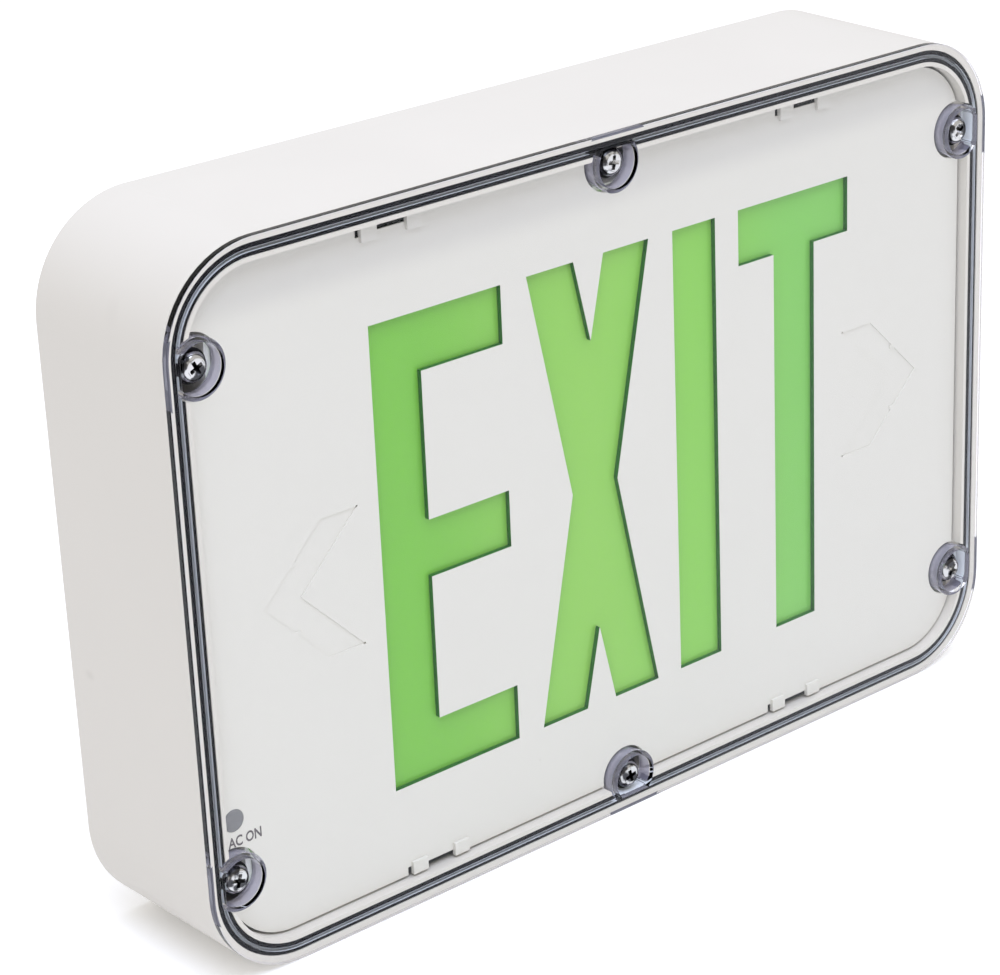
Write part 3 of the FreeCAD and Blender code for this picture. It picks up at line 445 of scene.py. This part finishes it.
def rim_nodes(wiring: Wiring) -> dict[str, Socket]:
    """How far a point is inside the front rim's outline, how deep behind the rim, and how high.

    With half-sides h, corner radius r and q = max(|P| - (h - r), 0), inset = r - length(q) in
    millimetres; it stops growing at r.

    Args:
        wiring: The tree that gets the nodes.

    Returns:
        The sockets of Inset, Depth (Y behind the rim's front) and Height (Z), in millimetres.
    """
    in_mm = wiring.vector("MULTIPLY", wiring.position(), (1 / MM, 1 / MM, 1 / MM)).outputs[0]
    _, depth, height = wiring.coordinates(in_mm)
    flat = wiring.vector("MULTIPLY", in_mm, (1.0, 0.0, 1.0)).outputs[0]
    positive = wiring.vector("ABSOLUTE", flat).outputs[0]
    middle_mm = (RIM_HALF_WIDTH_MM - RIM_CORNER_MM, 0.0, RIM_HALF_HEIGHT_MM - RIM_CORNER_MM)
    over = wiring.vector("SUBTRACT", positive, middle_mm).outputs[0]
    outside = wiring.vector("MAXIMUM", over).outputs[0]
    length = wiring.vector("LENGTH", outside).outputs["Value"]
    return {"Inset": wiring.maths("SUBTRACT", RIM_CORNER_MM, length),
            "Depth": wiring.maths("SUBTRACT", depth, RIM_FRONT_MM), "Height": height}


def rim_group() -> bpy.types.NodeTree:
    """Node group shared by the plate and the housing: where a point is from the front rim.

    Returns:
        The group, with the sockets of rim_nodes as its outputs.
    """
    group = bpy.data.node_groups.new("rim_inset", "ShaderNodeTree")
    wiring = Wiring(group)
    end = wiring.node("NodeGroupOutput")
    for name, socket in rim_nodes(wiring).items():
        group.interface.new_socket(name=name, in_out="OUTPUT", socket_type="NodeSocketFloat")
        wiring.link(socket, end.inputs[name])
    return group


def surface_material(finish: Finish, grain: bpy.types.NodeTree) -> Shader:
    """Material of a finish: base colour that wanders a little, roughness and grain bump.

    Args:
        finish: The finish.
        grain: The shared grain group.

    Returns:
        The shader.
    """
    roughness_spread = 0.15
    shader = Shader(finish.name)
    pattern = shader.group(grain)
    pattern.inputs["Grain"].default_value = finish.grain_mm
    pattern.inputs["Patch"].default_value = finish.patch_mm
    principled = shader.node("ShaderNodeBsdfPrincipled")
    principled.inputs["Metallic"].default_value = finish.metallic
    principled.inputs["Specular IOR Level"].default_value = finish.specular
    lighter = tuple(min(1.0, part * (1 + finish.tone)) for part in finish.colour)
    darker = tuple(part * (1 - finish.tone) for part in finish.colour)
    shader.principled, shader.tone, shader.colour = principled, pattern.outputs["Tone"], darker
    shader.paint(shader.tone, lighter)
    spread = shader.node("ShaderNodeMapRange")
    spread.inputs["To Min"].default_value = finish.roughness * (1 - roughness_spread)
    spread.inputs["To Max"].default_value = min(1.0, finish.roughness * (1 + roughness_spread))
    shader.link(shader.tone, spread.inputs["Value"])
    shader.link(spread.outputs[0], principled.inputs["Roughness"])
    bump = shader.node("ShaderNodeBump")
    bump.inputs["Distance"].default_value = finish.bump_mm * MM
    shader.link(pattern.outputs["Height"], bump.inputs["Height"])
    shader.link(bump.outputs["Normal"], principled.inputs["Normal"])
    shader.link(principled.outputs[0], shader.output.inputs["Surface"])
    return shader


@dataclass(frozen=True)
class Smudge:
    """A faint mark on a surface.

    Args:
        centre_mm: Where it is.
        reach_mm: How far it reaches each way.
        strength: Share of its colour at the centre.
        colour: Its colour.
    """

    centre_mm: Lengths
    reach_mm: Lengths
    strength: float
    colour: Colour = (0.45, 0.42, 0.38)

    def add(self, shader: Shader) -> None:
        """Darken the base colour with a soft edge: share = strength × smooth(1 − distance / reach).

        Args:
            shader: A material from surface_material.
        """
        away = shader.distance(self.centre_mm, self.reach_mm)
        shader.paint(shader.step(away, 1.0, 0.0, 0.0, self.strength), self.colour)


# ---- Sub-assemblies ---------------------------------------------------------------------------------

@dataclass
class Finisher:
    """Gives every CAD node its material.

    Args:
        grain: The shared grain group.
        rim: The shared group that tells how far a point is inside the rim.
        made: Materials made so far, by look.
    """

    grain: bpy.types.NodeTree
    rim: bpy.types.NodeTree
    made: dict[Look, Shader] = field(default_factory=dict)

    def shader(self, look: Look) -> Shader:
        """The material of a look, made once.

        Args:
            look: The look.

        Returns:
            The shader.
        """
        if look not in self.made:
            self.made[look] = surface_material(look.value, self.grain)
        return self.made[look]

    def dress(self, name: str, material: bpy.types.Material) -> None:
        """Put one material on all of a CAD node's faces.

        Args:
            name: The node.
            material: The material.
        """
        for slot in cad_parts[name].material_slots:
            slot.material = material
        LOG.info("dressed %s with %s", name, material.name)


@dataclass(frozen=True)
class Housing:
    """The off-white moulding, the marks on its side, and painted shade on the inside behind the catches.

    Args:
        smudges: The marks.
        inside: Colour of the painted shade inside.
        inside_inset_mm: Where the painted shade starts and is full, inwards from the rim.
        inside_depth_mm: The same, backwards from the rim's front.
        catch_reach_mm: How far it reaches from each catch across and up.
        catch_depth_mm: How far it reaches back.
        catch_fade: Share of that reach at which it is full.
    """

    smudges: tuple[Smudge, ...] = (
        Smudge((-171.0, -10.4, -27.3), (6.0, 3.6, 2.4), 0.22),
        Smudge((-171.0, -38.1, 95.5), (8.0, 5.0, 7.0), 0.09),
    )
    inside: Colour = (0.03, 0.035, 0.03)
    inside_inset_mm: Span = (7.3, 7.7)
    inside_depth_mm: Span = (5.0, 6.5)
    catch_reach_mm: float = 24.0
    catch_depth_mm: float = 45.0
    catch_fade: float = 0.8

    def build(self, finisher: Finisher) -> None:
        """Dress the housing.

        Args:
            finisher: Gives the materials.
        """
        shader = finisher.shader(Look.HOUSING)
        for smudge in self.smudges:
            smudge.add(shader)
        rim = shader.group(finisher.rim)
        # Painted shade: the inside behind the catches is coloured dark, standing in for the shade there.
        painted_inside_shade = shader.maths("MULTIPLY", shader.step(rim.outputs["Inset"], *self.inside_inset_mm),
                              shader.step(rim.outputs["Depth"], *self.inside_depth_mm))
        reach_mm = (self.catch_reach_mm, self.catch_depth_mm, self.catch_reach_mm)
        away = [shader.distance((x, RIM_FRONT_MM, z), reach_mm) for x, z in CATCH_PLACES_MM]
        close = shader.largest(*(shader.step(part, 1.0, self.catch_fade) for part in away))
        shader.paint(shader.maths("MULTIPLY", painted_inside_shade, close), self.inside)
        finisher.dress("back_housing", shader.material)


@dataclass(frozen=True)
class Faceplate:
    """The white stencil plate, the green sheet behind it and the printed words.

    Args:
        words: The printed words.
        words_left_mm: Their left end.
        words_right_mm: Their right end.
        words_low_mm: Their foot.
        words_high_mm: Their top.
        print_proud_mm: How far the print lies in front of the plate.
        print_growth: How much the strokes are made bolder, at a letter height of 1.
        print_steps: Steps in each curve of the letters.
        green_edge_shade: Colour of the letters' cut edges: painted shade with the sheet's green reflected
            in it.
        catch_edge_shade: Colour of the cut edges at the catches: painted shade.
        shade: Colour of the rim's soft shade on the plate.
        shade_share: Its full strength.
        shade_height_mm: Heights where the shade starts and is full.
        cut_depth_mm: Depths behind the plate's front at which the painted shade on a cut edge starts and is
            full.
        recess_depth_mm: The same, below the arrows' shallow recesses.
        legend_middle_mm: Middle of the letters across.
        legend_reach_mm: How far they reach from it across and up.
        arrow_middle_mm: Middle of the right arrow, whose corner reaches into the letters' area.
        arrow_reach_mm: How far it reaches across and up.
        catch_reach_mm: How far the painted shade on the cut edges at a catch reaches across and up.
        lit_greens: The sheet's colour with painted light, at four places along the legend, each with its X
            in millimetres.
        specks: Small marks on the plate.
    """

    words: str = "AC ON"
    words_left_mm: float = -160.1
    words_right_mm: float = -147.8
    words_low_mm: float = -71.7
    words_high_mm: float = -68.1
    print_proud_mm: float = 0.03
    print_growth: float = 0.022
    print_steps: int = 3
    green_edge_shade: Colour = (0.004, 0.12, 0.003)
    catch_edge_shade: Colour = (0.006, 0.010, 0.006)
    shade: Colour = (0.42, 0.41, 0.41)
    shade_share: float = 0.30
    shade_height_mm: Span = (88.0, 98.0)
    cut_depth_mm: Span = (0.03, 0.1)
    recess_depth_mm: Span = (0.36, 0.42)
    legend_middle_mm: float = 5.0
    legend_reach_mm: Span = (104.0, 80.0)
    arrow_middle_mm: float = 122.6
    arrow_reach_mm: Span = (28.0, 33.0)
    catch_reach_mm: Span = (18.0, 7.0)
    lit_greens: tuple[tuple[float, Colour], ...] = (
        (-85.0, (0.173, 0.503, 0.046)), (-10.0, (0.251, 0.564, 0.079)),
        (36.0, (0.226, 0.57, 0.069)), (85.0, (0.194, 0.542, 0.088)))
    specks: tuple[Smudge, ...] = (Smudge((113.8, -60.0, 73.1), (0.7, 5.0, 0.6), 0.4),
                                  Smudge((-37.0, -60.0, -87.0), (0.6, 5.0, 0.6), 0.25))

    def build(self, finisher: Finisher) -> None:
        """Dress the plate and the sheet, and add the print.

        Args:
            finisher: Gives the materials.
        """
        finisher.dress("faceplate", self.plate(finisher))
        finisher.dress("green_diffuser", self.green(finisher))
        self.print_words(finisher)

    def around(self, shader: Shader, x_mm: float, z_mm: float, reach_mm: Span) -> Socket:
        """Tell whether the surface lies in an ellipse on the plate, at any depth.

        Args:
            shader: The plate's material.
            x_mm: Middle across.
            z_mm: Middle up.
            reach_mm: How far it reaches across and up.

        Returns:
            The socket, 1 inside and 0 outside.
        """
        return shader.within((x_mm, PLATE_FRONT_MM + 1.0, z_mm), (reach_mm[0], ANY_DEPTH_MM, reach_mm[1]))

    def plate(self, finisher: Finisher) -> bpy.types.Material:
        """White plate, in the rim's soft shade along its top, with painted shade on its cut edges.

        The letters' cut edges get green painted shade from the front face back, and the edges at the
        catches get dark painted shade below the depth of the arrows' recesses.

        Args:
            finisher: Gives the materials.

        Returns:
            The material.
        """
        shader = finisher.shader(Look.FACEPLATE)
        for speck in self.specks:
            speck.add(shader)
        rim = shader.group(finisher.rim)
        shaded = shader.step(rim.outputs["Height"], *self.shade_height_mm, 0.0, self.shade_share)
        shader.paint(shaded, self.shade)
        front_mm = PLATE_FRONT_MM - RIM_FRONT_MM
        cut, recess = (shader.step(rim.outputs["Depth"], front_mm + start, front_mm + stop)
                       for start, stop in (self.cut_depth_mm, self.recess_depth_mm))
        across_mm, up_mm = self.legend_reach_mm
        legend = shader.maths(
            "MULTIPLY", self.around(shader, self.legend_middle_mm, 0.0, (across_mm, ANY_DEPTH_MM)),
            self.around(shader, 0.0, 0.0, (ANY_LENGTH_MM, up_mm)))
        arrow = self.around(shader, self.arrow_middle_mm, 0.0, self.arrow_reach_mm)
        letters = shader.maths("MULTIPLY", legend, shader.maths("SUBTRACT", 1.0, arrow))
        catches = shader.largest(*(self.around(shader, x, z, self.catch_reach_mm)
                                   for x, z in CATCH_PLACES_MM))
        # Painted shade on the cut edges: green in the letters, dark at the catches.
        deep = shader.largest(shader.maths("MULTIPLY", recess, catches),
                              shader.maths("MULTIPLY", cut, letters))
        shader.paint(deep, shader.blend_colour(legend, self.catch_edge_shade, self.green_edge_shade))
        return shader.material

    def green(self, finisher: Finisher) -> bpy.types.Material:
        """Green sheet whose colour changes a little along the legend: painted light and reflection, darkest
        at its left end.

        Args:
            finisher: Gives the materials.

        Returns:
            The material.
        """
        shader = finisher.shader(Look.DIFFUSER)
        across, _, _ = shader.coordinates(shader.position())
        # Painted light and reflection: lighter and darker greens across the legend.
        for (start, _), (stop, colour) in zip(self.lit_greens, self.lit_greens[1:]):
            shader.paint(shader.step(across, start * MM, stop * MM), colour)
        return shader.material

    def print_words(self, finisher: Finisher) -> None:
        """Print the supply indicator's label on the plate as thin flat letters.

        Each point's share of the text's width and height becomes a place in the label's rectangle.

        Args:
            finisher: Gives the materials.
        """
        curve = bpy.data.curves.new("indicator_label", "FONT")
        curve.body = self.words
        curve.align_x = "LEFT"
        curve.resolution_u = self.print_steps
        curve.offset = self.print_growth
        text = bpy.data.objects.new("indicator_label", curve)
        bpy.context.scene.collection.objects.link(text)
        bpy.context.view_layer.update()
        mesh = bpy.data.meshes.new_from_object(text.evaluated_get(bpy.context.evaluated_depsgraph_get()))
        bpy.data.objects.remove(text)
        points = np.zeros(len(mesh.vertices) * 3)
        mesh.vertices.foreach_get("co", points)
        points = points.reshape(-1, 3)
        low, high = points.min(0), points.max(0)
        share = (points - low) / np.maximum(high - low, 1e-9)
        placed = MM * np.column_stack([
            self.words_left_mm + share[:, 0] * (self.words_right_mm - self.words_left_mm),
            np.full(len(points), PLATE_FRONT_MM - self.print_proud_mm),
            self.words_low_mm + share[:, 1] * (self.words_high_mm - self.words_low_mm)])
        mesh.vertices.foreach_set("co", placed.ravel())
        mesh.update()
        piece = bpy.data.objects.new("indicator_label", mesh)
        bpy.context.scene.collection.objects.link(piece)
        piece.data.materials.append(finisher.shader(Look.PRINT).material)
        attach(piece, ROOT)


@dataclass(frozen=True)
class ClearCover:
    """The clear front plate, tinted and a little cloudy where it is looked at edge on.

    Args:
        clear: Tint of its flat front.
        edge: Tint of its back and its outer edge.
        rib: Tint of the rib that goes down inside the gasket.
        rubber: Colour where black rubber lies against it.
        boss_wall: Tint of the bosses' outer walls.
        lip: Tint of the outer edge beside a boss.
        back_depth_mm: Depths at which the back starts and is full.
        edge_inset_mm: Insets between which the outer edge fades.
        rib_inset_mm: Insets between which the rib fades.
        outer_rubber_mm: Inset up to which rubber lies against the rib's outer side.
        inner_rubber_mm: Insets between which it lies against the rib's inner side.
        rubber_places_mm: Where the rubber is thick: middle across and up, reach across and up.
        boss_radii_mm: Radii between which a boss's outer wall lies.
        lip_reach_mm: How far from a screw the outer edge is cloudy.
        cloudy: Share of full cloudiness.
        boss_cloud: Cloudiness of the bosses' outer walls.
        lip_cloud: Cloudiness of the outer edge beside a boss.
        index: Refractive index.
        roughness: Roughness.
        specular_tint: Level of the mirror reflection.
    """

    clear: Colour = (1.0, 1.0, 1.0)
    edge: Colour = (0.93, 0.925, 0.975)
    rib: Colour = (0.88, 0.93, 1.0)
    rubber: Colour = (0.004, 0.004, 0.006)
    boss_wall: Colour = (0.45, 0.44, 0.54)
    lip: Colour = (0.13, 0.13, 0.16)
    back_depth_mm: Span = (-0.25, -0.05)
    edge_inset_mm: Span = (0.8, 0.5)
    rib_inset_mm: Span = (5.4, 5.1)
    outer_rubber_mm: float = 3.92
    inner_rubber_mm: Span = (4.88, 5.0)
    rubber_places_mm: tuple[tuple[float, float, float, float], ...] = (
        (-166.0, 82.8, 2.9, 2.0), (-165.8, -79.4, 2.9, 2.0), (-1.0, 111.2, 10.0, 2.0),
        (-5.0, -112.9, 2.9, 1.8), (161.0, 77.0, 2.6, 1.4), (160.8, -76.5, 1.6, 2.2))
    boss_radii_mm: Span = (8.5, 9.7)
    lip_reach_mm: float = 14.5
    cloudy: float = 0.95
    boss_cloud: float = 0.48
    lip_cloud: float = 0.75
    index: float = 1.5
    roughness: float = 0.02
    specular_tint: float = 0.05

    def build(self, finisher: Finisher) -> None:
        """Dress the cover with clear plastic that lets light through to the plate behind it.

        The places are worked out in the material itself, because they also mix its shaders.

        Args:
            finisher: Dresses the node.
        """
        shader = Shader("clear_plastic")
        rim = rim_nodes(shader)
        behind = shader.step(rim["Depth"], *self.back_depth_mm)
        outer = shader.step(rim["Inset"], *self.edge_inset_mm)
        rib = shader.maths("MULTIPLY", behind, shader.step(rim["Inset"], *self.rib_inset_mm))
        black = shader.largest(self.rubber_side(shader, rim["Inset"], behind), *self.blots(shader, behind))
        wall, lip = self.boss_places(shader)
        wall = shader.maths("MULTIPLY", wall, self.is_back(shader, behind))
        lip = shader.maths("MULTIPLY", lip, outer)
        colour = shader.blend_colour(shader.largest(behind, outer), self.clear, self.edge)
        for share, tint in ((rib, self.rib), (wall, self.boss_wall), (lip, self.lip), (black, self.rubber)):
            colour = shader.blend_colour(share, colour, tint)
        cloud = shader.largest(
            shader.maths("MULTIPLY", rib, shader.maths("SUBTRACT", 1.0, wall)), black,
            shader.maths("MULTIPLY", wall, self.boss_cloud), shader.maths("MULTIPLY", lip, self.lip_cloud))
        plastic = shader.mix(shader.maths("MULTIPLY", cloud, self.cloudy),
                             self.plastic(shader, colour, 1.0), self.plastic(shader, colour, 0.0))
        path = shader.node("ShaderNodeLightPath")
        passing = shader.largest(path.outputs["Is Shadow Ray"], path.outputs["Is Diffuse Ray"])
        surface = shader.mix(passing, plastic, shader.node("ShaderNodeBsdfTransparent"))
        shader.link(surface.outputs[0], shader.output.inputs["Surface"])
        finisher.dress("clear_cover", shader.material)

    def plastic(self, shader: Shader, colour: Socket, clearness: float) -> Node:
        """The cover's plastic, clear or cloudy.

        Args:
            shader: The cover's material.
            colour: Its tint.
            clearness: Share of light that goes through it.

        Returns:
            The Principled node.
        """
        made = shader.node("ShaderNodeBsdfPrincipled")
        shader.link(colour, made.inputs["Base Color"])
        made.inputs["Transmission Weight"].default_value = clearness
        made.inputs["Specular Tint"].default_value = (*[self.specular_tint] * 3, 1.0)
        made.inputs["IOR"].default_value = self.index
        made.inputs["Roughness"].default_value = self.roughness
        return made

    def is_back(self, shader: Shader, behind: Socket) -> Socket:
        """1 where the surface is fully at the cover's back, and 0 elsewhere."""
        return shader.maths("GREATER_THAN", behind, 0.9)

    def blots(self, shader: Shader, behind: Socket) -> list[Socket]:
        """Where the thick rubber shows beside each boss.

        Args:
            shader: The cover's material.
            behind: Share of the cover's back.

        Returns:
            One share for each place.
        """
        return [shader.maths("MULTIPLY", behind, shader.within(
            (x, RIM_FRONT_MM, z), (reach_x, ANY_DEPTH_MM, reach_z)))
            for x, z, reach_x, reach_z in self.rubber_places_mm]

    def boss_places(self, shader: Shader) -> tuple[Socket, Socket]:
        """Where the bosses' outer walls are, and what lies near a boss.

        Args:
            shader: The cover's material.

        Returns:
            Both shares.
        """
        least, most = self.boss_radii_mm
        walls, nears = [], []
        for x, z in SCREW_PLACES_MM:
            away = shader.distance((x, RIM_FRONT_MM, z), (1.0, ANY_LENGTH_MM, 1.0))
            walls.append(shader.maths("MULTIPLY", shader.maths("GREATER_THAN", away, least),
                                      shader.maths("LESS_THAN", away, most)))
            nears.append(shader.maths("LESS_THAN", away, self.lip_reach_mm))
        return shader.largest(*walls), shader.largest(*nears)

    def rubber_side(self, shader: Shader, inset: Socket, behind: Socket) -> Socket:
        """Where the rubber's lip lies against the rib: its outer side up and left, its inner elsewhere.

        Args:
            shader: The cover's material.
            inset: Distance inwards from the rim, in millimetres.
            behind: Share of the cover's back.

        Returns:
            The share's socket.
        """
        across, _, up = shader.coordinates(shader.position())
        slanted = shader.maths("MULTIPLY", across, RIM_HALF_HEIGHT_MM / RIM_HALF_WIDTH_MM)
        far = shader.maths("GREATER_THAN", shader.maths("SUBTRACT", slanted, up), 0.0)
        outer = shader.maths("LESS_THAN", inset, self.outer_rubber_mm)
        least, most = self.inner_rubber_mm
        inner = shader.maths("MULTIPLY", shader.maths("GREATER_THAN", inset, least),
                             shader.maths("LESS_THAN", inset, most))
        chosen = shader.maths("ADD", shader.maths("MULTIPLY", inner, far),
                              shader.maths("MULTIPLY", outer, shader.maths("SUBTRACT", 1.0, far)))
        return shader.maths("MULTIPLY", chosen, self.is_back(shader, behind))


@dataclass(frozen=True)
class CoverScrews:
    """Bright screw heads with dark reflections that differ from head to head.

    Args:
        dark: Colour of the dark reflections.
        dark_tone: Tones at which a dark patch starts and is full.
        dark_share: Its full strength.
    """

    dark: Colour = (0.02, 0.02, 0.024)
    dark_tone: Span = (0.52, 0.44)
    dark_share: float = 0.93

    def build(self, finisher: Finisher) -> None:
        """Dress the screws.

        Args:
            finisher: Gives the materials.
        """
        shader = finisher.shader(Look.STEEL)
        shader.paint(shader.step(shader.tone, *self.dark_tone, 0.0, self.dark_share), self.dark)
        finisher.dress("cover_screws", shader.material)


@dataclass(frozen=True)
class Works:
    """The gasket, the seals and everything inside the housing."""

    def build(self, finisher: Finisher) -> None:
        """Dress the nodes whose finish is plain.

        Args:
            finisher: Gives the materials.
        """
        for name, look in PLAIN_LOOKS.items():
            finisher.dress(name, finisher.shader(look).material)


# ---- Studio -----------------------------------------------------------------------------------------

@dataclass(frozen=True)
class Studio:
    """Camera, floor and light.

    Args:
        camera_mm: The camera's place.
        camera_turn: Its turn about X, Y and Z, in degrees.
        lens_mm: Its focal length.
        sensor_mm: Width of its sensor.
        clip: Nearest and farthest distance that it sees.
        floor_half: Half the floor's side.
        floor_colour: The floor's colour.
        floor_roughness: The floor's roughness.
        floor_glow: The floor's own light, for the camera, gloss and glass only.
        world_colour: Colour of the light from all sides.
        world_level: Its level.
        lamp_place: The softbox's place.
        lamp_size: Its side.
        lamp_power: Its power in watts.
        lamp_colour: Its colour.
    """

    camera_mm: Lengths = (-609.17, -731.71, 369.05)
    camera_turn: Lengths = (67.74667, 2.35055, -40.84211)
    lens_mm: float = 110.038
    sensor_mm: float = 36.0
    clip: Span = (0.05, 50.0)
    floor_half: float = 3.0
    floor_colour: Colour = (0.93, 0.93, 0.93)
    floor_roughness: float = 0.9
    floor_glow: float = 0.2
    world_colour: Colour = (1.0, 0.975, 0.943)
    world_level: float = 0.76
    lamp_place: Lengths = (-0.3, -0.6, 2.0)
    lamp_size: float = 1.8
    lamp_power: float = 32.0
    lamp_colour: Colour = (0.95, 1.05, 1.32)

    def build(self) -> None:
        """Set up the studio."""
        self.camera()
        self.floor()
        self.world()
        self.softbox()

    def camera(self) -> None:
        """The viewing angle: from the reader's left, above the sign, slightly rolled."""
        data = bpy.data.cameras.new("camera")
        data.lens = self.lens_mm
        data.sensor_width = self.sensor_mm
        data.clip_start, data.clip_end = self.clip
        made = bpy.data.objects.new("camera", data)
        made.location = Vector(self.camera_mm) * MM
        made.rotation_euler = Euler([radians(angle) for angle in self.camera_turn], "XYZ")
        bpy.context.scene.collection.objects.link(made)
        bpy.context.scene.camera = made

    def floor(self) -> None:
        """A pale floor under the housing, a square whose corners are at (±half, ±half)."""
        corners = self.floor_half * np.array([(-1, -1, 0), (1, -1, 0), (1, 1, 0), (-1, 1, 0)])
        corners[:, 2] = CAD_BOX[0][2]
        mesh = bpy.data.meshes.new("floor")
        mesh.from_pydata(corners.tolist(), [], [(0, 1, 2, 3)])
        made = bpy.data.objects.new("floor", mesh)
        bpy.context.scene.collection.objects.link(made)
        shader = Shader("floor_paper")
        principled = shader.node("ShaderNodeBsdfPrincipled")
        shader.give(principled.inputs["Base Color"], self.floor_colour)
        shader.give(principled.inputs["Roughness"], self.floor_roughness)
        path = shader.node("ShaderNodeLightPath")
        seen = shader.largest(*(path.outputs[name] for name in (
            "Is Camera Ray", "Is Glossy Ray", "Is Transmission Ray")))
        shader.give(principled.inputs["Emission Color"], (1.0, 1.0, 1.0))
        shader.link(shader.maths("MULTIPLY", seen, self.floor_glow), principled.inputs["Emission Strength"])
        shader.link(principled.outputs[0], shader.output.inputs["Surface"])
        mesh.materials.append(shader.material)

    def world(self) -> None:
        """Even soft light from all sides."""
        world = bpy.data.worlds.new("studio")
        bpy.context.scene.world = world
        world.use_nodes = True
        wiring = Wiring(world.node_tree)
        wiring.tree.nodes.clear()
        output = wiring.node("ShaderNodeOutputWorld")
        background = wiring.node("ShaderNodeBackground")
        wiring.give(background.inputs["Color"], self.world_colour)
        wiring.give(background.inputs["Strength"], self.world_level)
        wiring.link(background.outputs[0], output.inputs["Surface"])

    def softbox(self) -> None:
        """A square softbox above, aimed at the sign."""
        data = bpy.data.lights.new("top_softbox", "AREA")
        data.size = self.lamp_size
        data.energy = self.lamp_power
        data.color = self.lamp_colour
        made = bpy.data.objects.new("top_softbox", data)
        made.location = self.lamp_place
        made.rotation_euler = (-Vector(self.lamp_place)).to_track_quat("-Z", "Y").to_euler()
        bpy.context.scene.collection.objects.link(made)


def main() -> None:
    """Build the looks and the studio."""
    logging.basicConfig(level=logging.INFO)
    bpy.context.scene.view_settings.view_transform = "Standard"
    finisher = Finisher(grain_group(), rim_group())
    for assembly in (Housing(), Faceplate(), ClearCover(), CoverScrews(), Works()):
        assembly.build(finisher)
    Studio().build()


if __name__ == "__main__":
    main()
